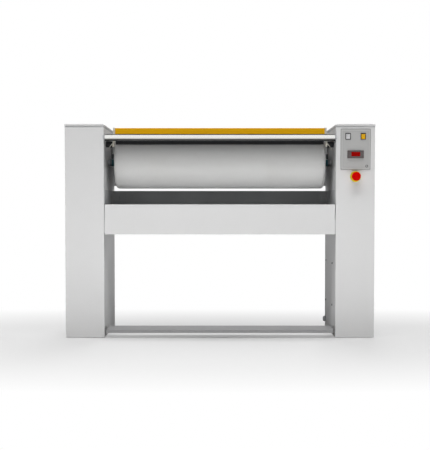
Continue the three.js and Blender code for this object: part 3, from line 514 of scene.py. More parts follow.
def dark_steel(name):
    """Ground steel with patches of old oil."""
    metal = ground_metal(name, colours().dark_steel, 0.42, "Z", 300.0)
    return metal.stain(metal.noise(24.0, 4.0), 0.52, 0.7, 0.5, (0.035, 0.03, 0.025))


def zinc(name):
    """Zinc plate with its crystal pattern: cells of slightly different tone and gloss."""
    metal = Finish(name, colours().steel, 0.4, 0.9)
    tone = metal.add("RGBToBW", {0: metal.cells(90.0, "Color")}).outputs[0]
    metal.stain(tone, 0.2, 0.8, 0.25, (0.3, 0.31, 0.33))
    metal.fill(metal.surface, {"Roughness": metal.remap(tone, 0.2, 0.8, 0.3, 0.5)})
    return metal


def chrome(name):
    """Bright plating with fine turned marks, and painted shade that darkens it along the bar's top
    line and on its underside.
    """
    metal = Finish(name, colours().chrome, 0.22, 1.0)
    metal.mottle(2.5, 0.04).gloss(260.0, 0.04, 3.0, (0.05, 1.0, 1.0))
    # Painted shade: outside a band just above the bar's middle the plating is blended towards
    # black, darkening its top line and its underside.
    low, high = span("feed_bar")
    bright = float(low[2] + high[2]) / 2 + 2.5 * MM
    off = metal.maths("ABSOLUTE", metal.maths("SUBTRACT", metal.axis("Z"), bright))
    painted_shade = metal.remap(off, 8 * MM, 12.5 * MM, 0.0, 0.88, smooth=True)
    metal.blend(painted_shade, (0.03, 0.03, 0.03))
    return metal.relief(metal.noise(1200.0, 2.0, (0.01, 1.0, 1.0)), 0.002 * MM)


def element_metal(name):
    """Metal with scale from its heat."""
    metal = Finish(name, colours().element, 0.55, 0.7)
    metal.mottle(40.0, 0.35, 4.0).gloss(30.0, 0.1)
    return metal.relief(metal.noise(500.0, 2.0), 0.05 * MM)


def chain_steel(name):
    """Oiled roller chain: plates and rollers follow each other at the chain's pitch."""
    pitch = 0.0127
    metal = Finish(name, colours().dark_steel, 0.35, 0.9)
    link = metal.maths("SINE", metal.maths("MULTIPLY", metal.axis("Z"), 2 * math.pi / pitch))
    metal.blend(metal.remap(link, -0.4, 0.3, 0.8, 0.0), (0.02, 0.018, 0.015))
    return metal.mottle(60.0, 0.3).relief(link, 0.8 * MM)


def spring_steel(name):
    """Coil spring: turns rise and fall along the height at the wire's pitch."""
    pitch = 0.0046
    metal = Finish(name, colours().steel, 0.3, 0.95)
    slant = metal.maths("ADD", metal.axis("Z"), metal.maths("MULTIPLY", metal.axis("X"), 0.12))
    coil = metal.maths("SINE", metal.maths("MULTIPLY", slant, 2 * math.pi / pitch))
    # Painted shade: the gaps between the coil's turns are darkened.
    metal.blend(metal.remap(coil, -0.9, 0.1, 0.9, 0.0), (0.02, 0.02, 0.02))
    return metal.relief(coil, 1.2 * MM)


def plastic(name, base, roughness, grain=0.02 * MM, **constants):
    """Moulded plastic: a fine even grain and finger marks in the gloss."""
    skin = Finish(name, base, roughness, **{SPECULAR: 0.25, **constants})
    skin.mottle(60.0, 0.05, 3.0).gloss(35.0, 0.07, 4.0)
    return skin.relief(skin.noise(1600.0, 1.0), grain)


# Plain plastics: the colour's name, the roughness and, where it isn't the usual one, the grain.
PLASTICS = {
    "black_plastic": ("rubber", 0.45),
    "bezel_plastic": ("bezel", 0.5),
    "teal_plastic": ("teal", 0.5),
    "pale_plastic": ("pale_plastic", 0.42),
    "grey_plastic": ("grey_plastic", 0.5),
    "white_rocker": ("white", 0.28, 0.006 * MM),
    "signal_yellow": ("signal_yellow", 0.42),
}


def plain_plastic(name):
    base, *surface = PLASTICS[name]
    return plastic(name, getattr(colours(), base), *surface)


def rubber(name):
    return plastic(name, colours().rubber, 0.6, 0.03 * MM).dust(0.03, 0.3)


def signal_red(name):
    return plastic(name, colours().signal_red, 0.34, 0.008 * MM, **{SPECULAR: 0.05})


def amber_rocker(name):
    """Clear coloured plastic with a weak lamp behind it."""
    glow = (*colours().amber, 1.0)
    light = {SPECULAR: 0.2, "Emission Color": glow, "Emission Strength": 0.05}
    return plastic(name, colours().amber, 0.22, 0.004 * MM, **light)


def display_window(name):
    """Tinted window over a dark dot screen that glows faintly red."""
    glow = (*colours().display, 1.0)
    light = {SPECULAR: 0.04, "Emission Color": glow, "Emission Strength": 0.1}
    glass = Finish(name, colours().display, 0.25, **light)
    glass.stain(glass.cells(700.0, "Distance"), 0.2, 0.6, 0.35, (0.03, 0.0, 0.0))
    return glass.mottle(90.0, 0.12)


def panel_paint(name):
    """Satin panel with a pale printed border, found from the distance to the panel's edges."""
    low, high = span("control_panel")
    skin = Finish(name, colours().panel, 0.36, 0.25, **{"Coat Weight": 0.2})
    skin.mottle(1100.0, 0.05, 2.0, (0.03, 1.0, 1.0)).mottle(12.0, 0.03)
    gaps = []
    for letter, axis in (("X", 0), ("Z", 2)):
        place = skin.axis(letter)
        gaps.append(skin.maths("SUBTRACT", place, low[axis]))
        gaps.append(skin.maths("SUBTRACT", high[axis], place))
    nearest = gaps[0]
    for gap in gaps[1:]:
        nearest = skin.maths("MINIMUM", nearest, gap)
    edge, line = sizes().panel_border, 0.9 * MM
    border, thin_line = linear(180, 180, 179), linear(120, 121, 122)
    rim_line = linear(112, 112, 112)
    skin.blend(skin.remap(nearest, edge, edge + line, 1.0, 0.0), border)
    inset = skin.maths("ABSOLUTE", skin.maths("SUBTRACT", nearest, edge + line))
    skin.blend(skin.remap(inset, line, 2 * line, 0.3, 0.0), thin_line)
    skin.blend(skin.remap(nearest, 2.2 * MM, 3.2 * MM, 0.75, 0.0), rim_line)
    skin.gloss(30.0, 0.06)
    return skin.relief(skin.noise(900.0, 1.0), 0.01 * MM)


def cotton(name):
    """Plain weave on the cloth's own map in metres: the height is the product of a sine along and
    a sine across, so that each thread goes over one and under the next; slubs thicken some."""
    per_metre = math.pi / sizes().thread
    cloth = Finish(name, colours().cotton, 0.93, **{"Sheen Weight": 0.1, "Sheen Roughness": 0.5})
    ways = cloth.add("SeparateXYZ", {0: cloth.place(EVEN, "UV")}).outputs
    waves = [cloth.maths("SINE", cloth.maths("MULTIPLY", ways[i], per_metre)) for i in (0, 1)]
    weave = cloth.maths("MULTIPLY", *waves)
    slub = cloth.noise(700.0, 3.0, (1.0, 0.05, 1.0), "UV")
    cross = cloth.noise(700.0, 3.0, (0.05, 1.0, 1.0), "UV")
    scorch = cloth.noise(4.0, 4.0, (1.0, 0.4, 1.0), "UV")
    # Painted shade: the dips of the weave, where a thread passes under the next, are darkened.
    cloth.blend(cloth.remap(weave, -1.0, 0.2, 0.16, 0.0), (0.2, 0.2, 0.19))
    cloth.stain(slub, 0.5, 0.75, 0.08, (0.3, 0.29, 0.27))
    cloth.stain(scorch, 0.5, 0.8, 0.1, (0.42, 0.36, 0.27))
    return cloth.relief(weave, 0.12 * MM).relief(slub, 0.1 * MM).relief(cross, 0.1 * MM)


def felt(name):
    wool = Finish(name, colours().felt, 1.0, **{"Sheen Weight": 0.4})
    wool.mottle(900.0, 0.3, 4.0).mottle(25.0, 0.15)
    return wool.relief(wool.noise(1100.0, 5.0), 0.4 * MM)


def foil(name):
    """Aluminium foil on wool: crumpled facets over a fine woven scrim."""
    sheet = Finish(name, colours().foil, 0.34, 0.85)
    sheet.mottle(18.0, 0.14, 4.0).gloss(40.0, 0.1)
    sheet.relief(sheet.cells(55.0, 0, feature="F2"), 1.2 * MM)
    return sheet.relief(sheet.noise(420.0, 2.0), 0.15 * MM)


FINISH_MAKERS = {
    maker.__name__: maker
    for maker in (
        light_paint, grey_paint, tray_paint, yellow_paint, motor_paint, steel, pressing_steel,
        dark_steel, zinc, chrome, element_metal, chain_steel, spring_steel, rubber, signal_red,
        amber_rocker, display_window, panel_paint, cotton, felt, foil,
    )
}
finishes = {}


def finish(name):
    """The material of that name, made when it is first asked for."""
    if name not in finishes:
        maker = plain_plastic if name in PLASTICS else FINISH_MAKERS[name]
        finishes[name] = maker(name).material
    return finishes[name]


# ---------------------------------------------------------------- pieces in the frame
def wear(piece, material, body):
    """Gives a new piece its finish and the CAD body that it rides on."""
    piece.data.materials.clear()
    piece.data.materials.append(finish(material))
    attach(piece, body)
    return piece


def stand_in(piece, material, node):
    """A new piece that stands for a CAD node and rides on its body."""
    wear(piece, material, frame["nodes"][node]["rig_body"])
    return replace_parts(piece, node)


def repaint(material, *nodes):
    """A better finish on CAD nodes whose shape stays."""
    for node in nodes:
        place = frame["nodes"][node].material_slots[0]
        place.link = "OBJECT"
        place.material = finish(material)


def rounded_copy(name, node, material, width, segments=2):
    """A copy of a CAD node with its facets merged into whole faces and its edges rounded."""
    mesh = frame["nodes"][node].data.copy()
    mesh.name = name
    clean_mesh(mesh, whole_faces=True)
    for kept in ("custom_normal", "sharp_face"):
        if kept in mesh.attributes:
            mesh.attributes.remove(mesh.attributes[kept])
    piece = soften(link_piece(name, mesh, 35.0), width, segments, 35.0)
    return stand_in(piece, material, node)


# ---------------------------------------------------------------- operators
class IRONER_OT_pillars(Operator):
    """Both pillars: casings, side frames, lids and the bands under them, feet and rear screws"""

    bl_idname = "ironer.pillars"
    bl_label = "Pillars"

    def execute(self, context):
        edge = sizes().sheet_edge
        skins = (("casing", "casing", edge, 2), ("wall", "side_frame", edge, 2),
                 ("lid", "lid", 3.4 * MM, 4))
        for side in SIDES:
            for skin, node, width, segments in skins:
                rounded_copy(
                    f"{skin}_skin_{side}", f"{node}_{side}", "light_paint", width, segments,
                )
            low, high = span(f"casing_{side}")
            inset = 0.016
            xs = low[0] + np.array([inset, high[0] - low[0] - inset])
            zs = low[2] + np.array([0.05, 0.34, 0.63, 0.92])
            places = [(x, high[1], z) for x in xs for z in zs]
            screws = screw_row(f"rear_screws_{side}", places, 4.2 * MM, 2.0 * MM, "y", 1.0)
            wear(screws, "zinc", "frame")
            repaint("rubber", f"foot_front_{side}", f"foot_rear_{side}")
            self.shade_band(side)
        return {"FINISHED"}

    def shade_band(self, side):
        """A thin band under the lid, hugging the pillar, in a grey darker than the casing: painted
        shade that stands in for the shadow line under the lid. It is made of rounded rectangles at
        six pairs of millimetres beyond the casing and below the lid, joined one after another."""
        low, high = span(f"casing_{side}")
        centre, half = (low + high)[:2] / 2, (high - low)[:2] / 2
        top = span(f"lid_{side}")[0][2]
        profile = [(-1.0, 0.2), (0.25, 0.2), (0.45, 0.8), (0.45, 4.8), (0.25, 5.2), (-1.0, 5.2)]
        rows = []
        for beyond, below in profile:
            ring = rounded_rectangle(centre, *(half + beyond * MM), 1.5 * MM, 3)
            rows.append(np.insert(ring, 2, top - below * MM, axis=1))
        band = make_piece(f"lid_gasket_{side}", np.stack(rows), (True, True))
        # The tray's darker grey on this band is painted shade, the shadow line under the lid.
        wear(band, "tray_paint", "frame")


class IRONER_OT_roller(Operator):
    """Cotton cloth and felt padding stretched on the roller, its drum and its shaft collars"""

    bl_idname = "ironer.roller"
    bl_label = "Roller"

    def execute(self, context):
        centre, radius, _, half = round_node("roller_cover")
        radius, half = radius + 0.6 * MM, half + 2.4 * MM
        turned_in = 0.028
        self.padding(centre)
        cloth = self.cloth(radius, half, turned_in, centre)
        repaint("steel", "roller_drum")
        for side, sign in SIDES.items():
            self.collar(side, sign, centre)
        return {"FINISHED"}

    def cloth(self, radius, half, turned_in, centre):
        """The outline runs from one end's hem, round the shoulder, along the roller and back.
        Turned round the axis, its radius also drops over the wound overlap, and near the ends it
        ripples where the drawcord gathers the cloth, by two cosines of many turns of the angle."""
        size = sizes()
        round_end = 18 * MM
        corner = np.array([half, radius])
        side_point, top_point = corner - [0, round_end], corner - [round_end, 0]
        shoulder = bent(side_point, corner, top_point, np.linspace(0, 1, 9)[:, None])
        face_radii = np.linspace(radius - turned_in, side_point[1], 7)[:-1]
        face = np.stack([np.full(6, half), face_radii], -1)
        along = np.stack([np.linspace(top_point[0], 0, 40)[1:], np.full(39, radius)], -1)
        right = np.concatenate([face, shoulder, along])
        outline = np.concatenate([right, right[-2::-1] * [-1, 1]])
        sides = 320
        turn = np.linspace(0, 2 * math.pi, sides + 1)
        lap_start, lap_height = 2.2, 0.85 * MM
        step = np.clip(((turn - lap_start) % (2 * math.pi)) / (size.cloth_overlap / radius), 0, 1)
        lap = lap_height * (1 - step**2 * (3 - 2 * step))
        x, r = outline[:, 0], outline[:, 1]
        from_end = (half - np.abs(x)) / (2.2 * round_end)
        gathered = np.exp(-(from_end**2)) * size.cloth_gather
        ripple = 0.6 * np.cos(41 * turn) + 0.4 * np.cos(67 * turn + 1.3)
        slack = 0.2 * MM * np.sin(9 * x[:, None] / half + 2 * np.sin(3 * turn)[None])
        inset = gathered[:, None] * (1 + ripple)[None] / 2 + np.abs(slack)
        ring = r[:, None] - inset + lap[None]
        across = np.repeat(x[:, None], sides + 1, 1)
        points = np.stack(
            [across, centre[0] + ring * np.cos(turn), centre[1] + ring * np.sin(turn)], -1,
        )
        run = np.insert(np.cumsum(np.linalg.norm(np.diff(outline, axis=0), axis=1)), 0, 0.0)
        uv = np.stack(np.broadcast_arrays(run[:, None], (turn * radius)[None]), -1)
        cloth = make_piece("roller_cloth", points, uv=uv, closed=False, angle=80.0)
        middle = cloth.data.polygons[len(cloth.data.polygons) // 2]
        if np.dot(middle.normal[1:], np.array(middle.center)[1:] - centre) < 0:
            cloth.data.flip_normals()
        thick = cloth.modifiers.new("Cloth thickness", "SOLIDIFY")
        thick.thickness, thick.offset = size.cloth, -1.0
        return stand_in(cloth, "cotton", "roller_cover")

    def padding(self, centre):
        """A thick felt sleeve: a ring outline with soft shoulders turned round the axis."""
        _, outer, _, x = round_node("roller_padding")
        outer, bore, x = outer - 1.2 * MM, 108.7 * MM, x - 1.5 * MM
        shoulder, edge = 15 * MM, 1 * MM
        corners = [(-x, bore), (-x, outer), (x, outer), (x, bore)]
        outline = round_corners(corners, [edge, shoulder, shoulder, edge], True, 5)
        sleeve = turned_piece("roller_felt", outline, centre, loop=True, sides=96, angle=60.0)
        stand_in(sleeve, "felt", "roller_padding")

    def collar(self, side, sign, centre):
        """A black disc against the roller, a narrower teal hub and a steel ring with a groove, on
        one bore. Each rim's corners are (x, radius, rounding in millimetres)."""
        _, outer, *ends = round_node(f"shaft_collar_{side}")
        near, far = sorted(map(abs, ends))
        hub, bore = 16.8 * MM, 15.3 * MM
        disc, rim = near + 5 * MM, outer - 3 * MM
        ring, groove = far - 9 * MM, hub - MM
        rims = {
            "collar_disc": ("black_plastic", [
                (near, bore, 0.2), (near, rim, 1.0), (disc, rim, 1.0), (disc, bore, 0.2)]),
            "collar_hub": ("teal_plastic", [
                (disc, bore, 0.1), (disc, hub, 0.1), (ring, hub, 0.6), (ring, bore, 0.1)]),
            "collar_ring": ("dark_steel", [
                (ring, bore, 0.1), (ring, groove, 0.1), (far - 6 * MM, groove, 0.3),
                (far - 5 * MM, hub, 0.3), (far, hub, 0.8), (far, bore, 0.2)]),
        }
        for name, (material, corners) in rims.items():
            corners = np.array(corners)
            outline = round_corners(corners[:, :2], corners[:, 2] * MM, True, 4) * [sign, 1]
            piece = turned_piece(f"{name}_{side}", outline, centre, loop=True)
            if name == "collar_hub":
                stand_in(piece, material, f"shaft_collar_{side}")
            else:
                wear(piece, material, "roller")


class IRONER_OT_bearings(Operator):
    """Bearing plates and flanged bearings behind the side openings, with their bolts"""

    bl_idname = "ironer.bearings"
    bl_label = "Bearings"

    def execute(self, context):
        edge = sizes().small_edge
        flange, reach = 8 * MM, 33 * MM
        for side, sign in SIDES.items():
            plate, bearing = f"bearing_plate_{side}", f"roller_bearing_{side}"
            rounded_copy(f"plate_skin_{side}", plate, "light_paint", edge)
            rounded_copy(f"bearing_skin_{side}", bearing, "dark_steel", edge)
            low, high = span(bearing)
            _, y, z = (low + high) / 2
            seat = (low[0] if sign > 0 else high[0]) + sign * flange
            places = [(seat, y + a * reach, z + b * reach) for a in (-1, 1) for b in (-1, 1)]
            bolts = screw_row(
                f"bearing_bolts_{side}", places, 7.5 * MM, 5 * MM, "x", sign, squareness=1.0,
            )
            wear(bolts, "zinc", "frame")
        return {"FINISHED"}


class IRONER_OT_chest(Operator):
    """Heated chest: pressing shell, quilted foil blanket, elements, end plates and arms"""

    bl_idname = "ironer.chest"
    bl_label = "Heated chest"

    def execute(self, context):
        self.centre = round_node("roller_cover")[0]
        self.shell()
        self.blanket()
        repaint("element_metal", "heating_element_upper", "heating_element_lower")
        for side in SIDES:
            for part in ("chest_end", "chest_arm"):
                rounded_copy(
                    f"{part}_skin_{side}", f"{part}_{side}", "dark_steel", sizes().small_edge,
                )
        return {"FINISHED"}

    def shell(self):
        """A curved plate: the arc between two radii from 40 degrees below to 75 above, along x."""
        low, high = span("chest_plate")
        hollow, back = 0.1346, 0.143
        arc = circle(np.radians(np.linspace(-40, 75, 73)))
        outline = np.concatenate([arc * hollow, arc[::-1] * back]) + self.centre
        shell = carried_along_x("pressing_shell", outline, low[0], high[0])
        stand_in(soften(shell, sizes().small_edge), "pressing_steel", "chest_plate")

    def blanket(self):
        """A quilted arc: its thickness is full between the quilting lines and pulls in towards them
        with nearly the square root of a sine, along x and round the axis, and at its own edges."""
        low, high = span("chest_insulation")
        inner, thick, pulled_in = 0.1523, 17.4 * MM, 0.34
        start, end, rows = -39.5, 61.5, 4
        columns = round((high[0] - low[0]) / sizes().quilt)
        x = np.linspace(low[0] + 2 * MM, high[0] - 2 * MM, 193)
        turn = np.radians(np.linspace(start, end, 91))
        along = np.abs(np.sin(np.linspace(0, math.pi * columns, len(x)))) ** 0.45
        around = np.abs(np.sin(np.linspace(0, math.pi * rows, len(turn)))) ** 0.45
        puff = pulled_in + (1 - pulled_in) * along[:, None] * around[None]
        arc = circle(turn)
        top = arc[None] * (inner + thick * puff)[..., None]
        bottom = np.broadcast_to((arc * inner)[None, ::-1], top.shape)
        loop = np.concatenate([top, bottom], 1) + self.centre
        points = np.concatenate([np.broadcast_to(x[:, None, None], (*loop.shape[:2], 1)), loop], -1)
        blanket = make_piece("chest_blanket", points, (False, True), ends=True, angle=50.0)
        stand_in(blanket, "foil", "chest_insulation")
        pins_x = np.linspace(x[0], x[-1], columns + 1)[1:-1]
        pins_turn = np.radians(start + np.arange(1, rows) * (end - start) / rows)
        self.pins(pins_x, pins_turn, inner + thick * pulled_in + 0.2 * MM)

    def pins(self, pins_x, pins_turn, seat):
        """Flat washers where the quilting lines cross: a profile of (height above the seat, radius)
        turned about a line straight out from the roller's axis."""
        profile = np.array([[0.0, 0.0], [0.0, 7.0], [0.8, 7.0], [1.2, 5.5], [1.2, 0.0]]) * MM
        a = full_turn(12)
        up, out = profile[:, 0], profile[:, 1]
        radial = circle(pins_turn)
        across = np.stack([-radial[:, 1], radial[:, 0]], -1)
        disc = (
            radial[:, None, None] * (seat + up[None, :, None, None])
            + across[:, None, None] * (out[:, None] * np.sin(a)[None])[None, :, :, None]
        )
        grids = np.empty((len(pins_x), len(pins_turn), len(up), len(a), 3))
        grids[..., 0] = pins_x[:, None, None, None] + (out[:, None] * np.cos(a)[None])[None, None]
        grids[..., 1:] = self.centre + disc[None]
        wear(make_piece("blanket_pins", grids, (False, True)), "zinc", "chest")


class IRONER_OT_feed_bar(Operator):
    """Bright feed bar, its rounded end plugs and the sheets behind it"""

    bl_idname = "ironer.feed_bar"
    bl_label = "Feed bar"

    def execute(self, context):
        centre, outer, _, x = round_node("feed_bar")
        bore = outer - 2 * MM
        rim = round_corners([(-x, bore), (-x, outer), (x, outer), (x, bore)], 0.5 * MM, True, 3)
        tube = turned_piece("feed_tube", rim, centre, loop=True, sides=96)
        stand_in(tube, "chrome", "feed_bar")
        for side, sign in SIDES.items():
            _, flange, *ends = round_node(f"feed_bar_plug_{side}")
            start, end = sorted(map(abs, ends))
            spigot, seat = outer - 2.3 * MM, end - 8 * MM
            corners = [
                (start, 0.0), (start, spigot), (seat, spigot), (seat, flange), (end, flange),
                (end, 0.0),
            ]
            radii = [0.0, 1 * MM, 0.2 * MM, 2 * MM, 1 * MM, 0.0]
            profile = round_corners(corners, radii, False, 5) * [sign, 1]
            plug = turned_piece(f"bar_cap_{side}", profile, centre)
            stand_in(plug, "zinc", f"feed_bar_plug_{side}")
        self.plate(centre)
        return {"FINISHED"}

    def plate(self, bar):
        """Bent sheets that carry linen from the bar to the roller, drawn as lines of (y, z) in
        millimetres from the bar's middle with one rounded bend: a grey one goes up behind the bar
        and back, and a black lip between the guard's arms goes on and turns down. The black lip is
        painted shade: a dark sheet that shows as a dark line above the bar and darkens the roller's
        top."""
        wall = span("side_frame_right")[0][0] - 0.6 * MM
        arm = span("guard_bar")[1][0] - 1.5 * MM
        sheets = (
            ("feed_plate", "grey_paint", wall, 3, [(17.6, -8.0), (17.6, 17.4), (72.0, 13.0)]),
            # The black lip is painted shade: a dark sheet that shows as a dark line above the bar
            # and darkens the roller's top.
            ("shade_lip", "black_plastic", arm, 6, [(58.0, 11.6), (97.0, 6.5), (93.0, -27.0)]),
        )
        for name, material, half, bend, line in sheets:
            path = np.array(line[::-1]) * MM + bar
            path = round_corners(path, [0, bend * MM, 0], False, 5)
            sheet = carried_along_x(name, sheet_outline(path, 1.4 * MM), -half, half)
            wear(soften(sheet, 0.3 * MM), material, "frame")


class IRONER_OT_finger_guard(Operator):
    """Yellow finger guard with rolled edges, its pale arms and claws and its dark pivots"""

    bl_idname = "ironer.finger_guard"
    bl_label = "Finger guard"

    def execute(self, context):
        low, high = span("guard_bar")
        fold, hem = low[1] + 5.4 * MM, 7 * MM
        path = [
            (high[1], high[2]), (low[1], high[2]), (low[1], low[2]), (fold, low[2]),
            (fold, low[2] + hem),
        ]
        centre_line = round_corners(path, [0, sizes().bend, 2.6 * MM, 2.6 * MM, 0], False, 6)
        bar = carried_along_x("guard_strip", sheet_outline(centre_line, 2.0 * MM), low[0], high[0])
        stand_in(soften(bar, 0.4 * MM), "yellow_paint", "guard_bar")
        for side, sign in SIDES.items():
            rounded_copy(
                f"guard_arm_skin_{side}", f"guard_arm_{side}", "pale_plastic", 0.9 * MM, 3,
            )
            middle, radius, *ends = round_node(f"guard_pin_{side}")
            start, end = sorted(map(abs, ends))
            stem, cup = 6 * MM, start + 7 * MM
            corners = [
                (start, 0.0), (start, stem), (cup, stem), (cup, radius), (end, radius), (end, 0.0),
            ]
            profile = round_corners(corners, [0, 1 * MM, 0.2 * MM, 8 * MM, 4 * MM, 0], False, 6)
            pin = turned_piece(f"pivot_disc_{side}", profile * [sign, 1], middle)
            stand_in(pin, "black_plastic", f"guard_pin_{side}")
            self.claw(side, sign, middle)
        return {"FINISHED"}

    def claw(self, side, sign, pivot):
        """A bent strip in front of the pivot: its middle line is a quadratic curve in x and z from
        the arm outwards and down, it comes forward with the square root of its way, and it narrows
        towards its tip; a rounded section is carried along it."""
        root = 0.504
        t = np.linspace(0, 1, 25)[:, None]
        line = bent(*np.array([(1.0, 9.0), (12.0, 1.0), (27.5, -27.0)]) * MM, t)
        along = unit(np.gradient(line, axis=0))
        across = np.stack([-along[:, 1], along[:, 0]], -1) * (1.3 - 0.6 * t)
        section = rounded_rectangle((0.0, 0.0), 1.8 * MM, 1.8 * MM, 1.2 * MM, 3)
        points = np.empty((len(t), len(section), 3))
        points[..., 0] = sign * (root + line[:, :1] + across[:, :1] * section[:, 1])
        points[..., 1] = pivot[0] - 10 * MM - 8.5 * MM * np.sqrt(t) + section[:, 0]
        points[..., 2] = pivot[1] + line[:, 1:] + across[:, 1:] * section[:, 1]
        strip = make_piece(f"guard_claw_{side}", points, (False, True), ends=True)
        wear(strip, "pale_plastic", "guard")


class IRONER_OT_tray(Operator):
    """Linen tray with its slot plugs and light apron, and the rear cover with its screws"""

    bl_idname = "ironer.tray"
    bl_label = "Linen tray"

    def execute(self, context):
        edge = sizes().small_edge
        rounded_copy("tray_skin", "linen_tray", "tray_paint", edge)
        self.slot_plugs()
        self.apron()
        rounded_copy("rear_cover_skin", "rear_cover", "light_paint", edge)
        low, high = span("rear_cover")
        side_inset, foot_inset, top_inset = 0.03, 0.02, 0.03
        xs = np.linspace(low[0] + side_inset, high[0] - side_inset, 5)
        zs = (low[2] + foot_inset, high[2] - top_inset)
        places = [(x, high[1], z) for x in xs for z in zs]
        screws = screw_row("cover_screws", places, 4.5 * MM, 2.2 * MM, "y", 1.0)
        wear(screws, "zinc", "frame")
        return {"FINISHED"}

    def apron(self):
        """A sheet folded under at its foot and rolled back over half a circle at its top."""
        low, high = span("tray_apron")
        r = 5 * MM
        curl = (low[1] + r, high[2] - r) + r * circle(np.linspace(math.pi, 0, 15))
        fold = [(high[1], low[2]), (low[1], low[2]), (low[1], low[2] + 12 * MM)]
        path = np.concatenate([round_corners(fold, [0, 3 * MM, 0], False, 6), curl])
        apron = carried_along_x("apron_skin", sheet_outline(path, -2 * MM), low[0], high[0])
        stand_in(soften(apron, 0.4 * MM), "light_paint", "tray_apron")

    def slot_plugs(self):
        """Plugs pressed into the two slots of the tray's rear wall."""
        _, back, top = span("linen_tray")[1]
        drop, inset = 35 * MM, 38 * MM
        w, h = 3 * MM, 10 * MM
        sections = [
            (w + MM, h + MM, 2 * MM, back + 1.5 * MM), (w + MM, h + MM, 2 * MM, back),
            (w, h, 2 * MM, back), (w, h, 2 * MM, back - 2.4 * MM),
            (w - 0.6 * MM, h - 0.6 * MM, 1.6 * MM, back - 3 * MM),
        ]
        for side, sign in SIDES.items():
            x = sign * (span("side_frame_right")[0][0] - inset)
            plug = stacked_piece(f"slot_plug_{side}", (x, top - drop), sections)
            wear(plug, "grey_plastic", "frame")


class IRONER_OT_treadle(Operator):
    """Foot treadle, pull rod and return spring"""

    bl_idname = "ironer.treadle"
    bl_label = "Treadle"

    def execute(self, context):
        rounded_copy("treadle_skin", "pedal", "grey_paint", 0.9 * MM)
        rounded_copy("pull_rod_skin", "pull_rod", "dark_steel", 0.5 * MM)
        repaint("spring_steel", "pedal_spring")
        return {"FINISHED"}


class IRONER_OT_drive(Operator):
    """Gearmotor on its bracket, chain, sprockets and the bracket's four screws"""

    bl_idname = "ironer.drive"
    bl_label = "Drive"

    def execute(self, context):
        rounded_copy("gearmotor_skin", "gear_motor", "motor_paint", 1.2 * MM)
        repaint("chain_steel", "drive_chain")
        for node in ("roller_sprocket", "motor_sprocket"):
            rounded_copy(f"{node}_skin", node, "dark_steel", 0.3 * MM)
        for number in range(1, 5):
            self.screw(number)
        return {"FINISHED"}

    def screw(self, number):
        """A domed head on the wall with its shank behind it, turned about x."""
        node = f"motor_screw_{number}"
        middle, radius, start, end = round_node(node)
        height, shank_radius = 3 * MM, 3 * MM
        head = dome_screw(radius, height)[1:]
        head[:, 0] = start + height - head[:, 0]
        shank = [[end, 0.0], [end, shank_radius], [start + height, shank_radius]]
        profile = np.concatenate([shank, head])
        screw = turned_piece(f"bracket_screw_{number}", profile, middle, sides=32)
        stand_in(screw, "dark_steel", node)


class IRONER_OT_controls(Operator):
    """Control panel, two rocker switches, the controller with its window, and a small ring"""

    bl_idname = "ironer.controls"
    bl_label = "Controls"

    def execute(self, context):
        rounded_copy("panel_skin", "control_panel", "panel_paint", 0.5 * MM)
        for side, tone in (("left", "white"), ("right", "amber")):
            rounded_copy(
                f"rocker_frame_{side}", f"rocker_housing_{side}", "black_plastic", 0.8 * MM,
            )
            self.rocker(side, tone)
        self.controller()
        self.ring()
        return {"FINISHED"}

    def rocker(self, side, tone):
        """The front is a shallow valley: its depth follows a cosine over the height, and the
        outline of front, ends and back is turned about the pin and carried across the width."""
        low, high = span(f"rocker_{side}")
        housing_low, housing_high = span(f"rocker_housing_{side}")
        panel_front = span("control_panel")[0][1]
        pin = np.array([panel_front + 3 * MM, (housing_low[2] + housing_high[2]) / 2])
        h, proud, valley, tilt = 11.3 * MM, 9 * MM, 1.5 * MM, math.radians(8)
        v = np.linspace(-h, h, 25)
        front = np.stack([-proud + valley * 0.5 * (1 + np.cos(math.pi * v / h)), v], -1)
        back = np.array([(0.0, h), (h / 2, 0.0), (0.0, -h)])
        turn = np.array([[math.cos(tilt), math.sin(tilt)], [-math.sin(tilt), math.cos(tilt)]])
        outline = np.concatenate([front, back]) @ turn + pin
        rocker = carried_along_x(f"rocker_cap_{side}", outline, low[0], high[0])
        stand_in(soften(rocker, 0.7 * MM, 3), f"{tone}_rocker", f"rocker_{side}")

    def controller(self):
        """Stacked rounded rectangles: body, bezel, a chamfer, and a sunk face with a window."""
        low, high = span("controller")
        centre = (low[[0, 2]] + high[[0, 2]]) / 2
        w, h = (high[0] - low[0]) / 2, (high[2] - low[2]) / 2
        front, seat = low[1], low[1] + 8 * MM
        body_w, body_h, face = 35 * MM, 14.2 * MM, front + 0.7 * MM
        sections = [
            (body_w, body_h, 1 * MM, high[1]), (body_w, body_h, 1 * MM, seat),
            (w, h, 3 * MM, seat), (w, h, 3 * MM, front + 2 * MM),
            (w - 0.7 * MM, h - 0.7 * MM, 2.6 * MM, front + 0.6 * MM),
            (w - 2 * MM, h - 2 * MM, 2 * MM, front), (w - 4 * MM, h - 4 * MM, 1.5 * MM, front),
            (w - 4.6 * MM, h - 4.6 * MM, 1.2 * MM, face),
        ]
        case = stacked_piece("controller_case", centre, sections, angle=50.0)
        stand_in(case, "bezel_plastic", "controller")
        w, h = 20.5 * MM, 9.9 * MM
        sections = [
            (w, h, 1.4 * MM, face + 0.5 * MM), (w, h, 1.4 * MM, face - 0.2 * MM),
            (w - 0.5 * MM, h - 0.5 * MM, 1.1 * MM, face - 0.6 * MM),
        ]
        window = stacked_piece("display_window", centre + np.array([0.0, 0.9 * MM]), sections)
        wear(window, "display_window", "frame")

    def ring(self):
        """A small dark ring low on the panel: a profile of (y, radius) turned about a line along
        y."""
        face = span("control_panel")[0][1]
        centre = (0.6837, 0.8048)
        rim = [(0.3, 4.0), (0.3, 6.1), (-0.5, 6.1), (-1.0, 5.5), (-1.0, 4.6), (-0.6, 4.0)]
        profile = np.array(rim) * MM + [face, 0.0]
        ring = turned_piece("panel_ring", profile, centre, "y", loop=True, sides=40)
        wear(ring, "black_plastic", "frame")


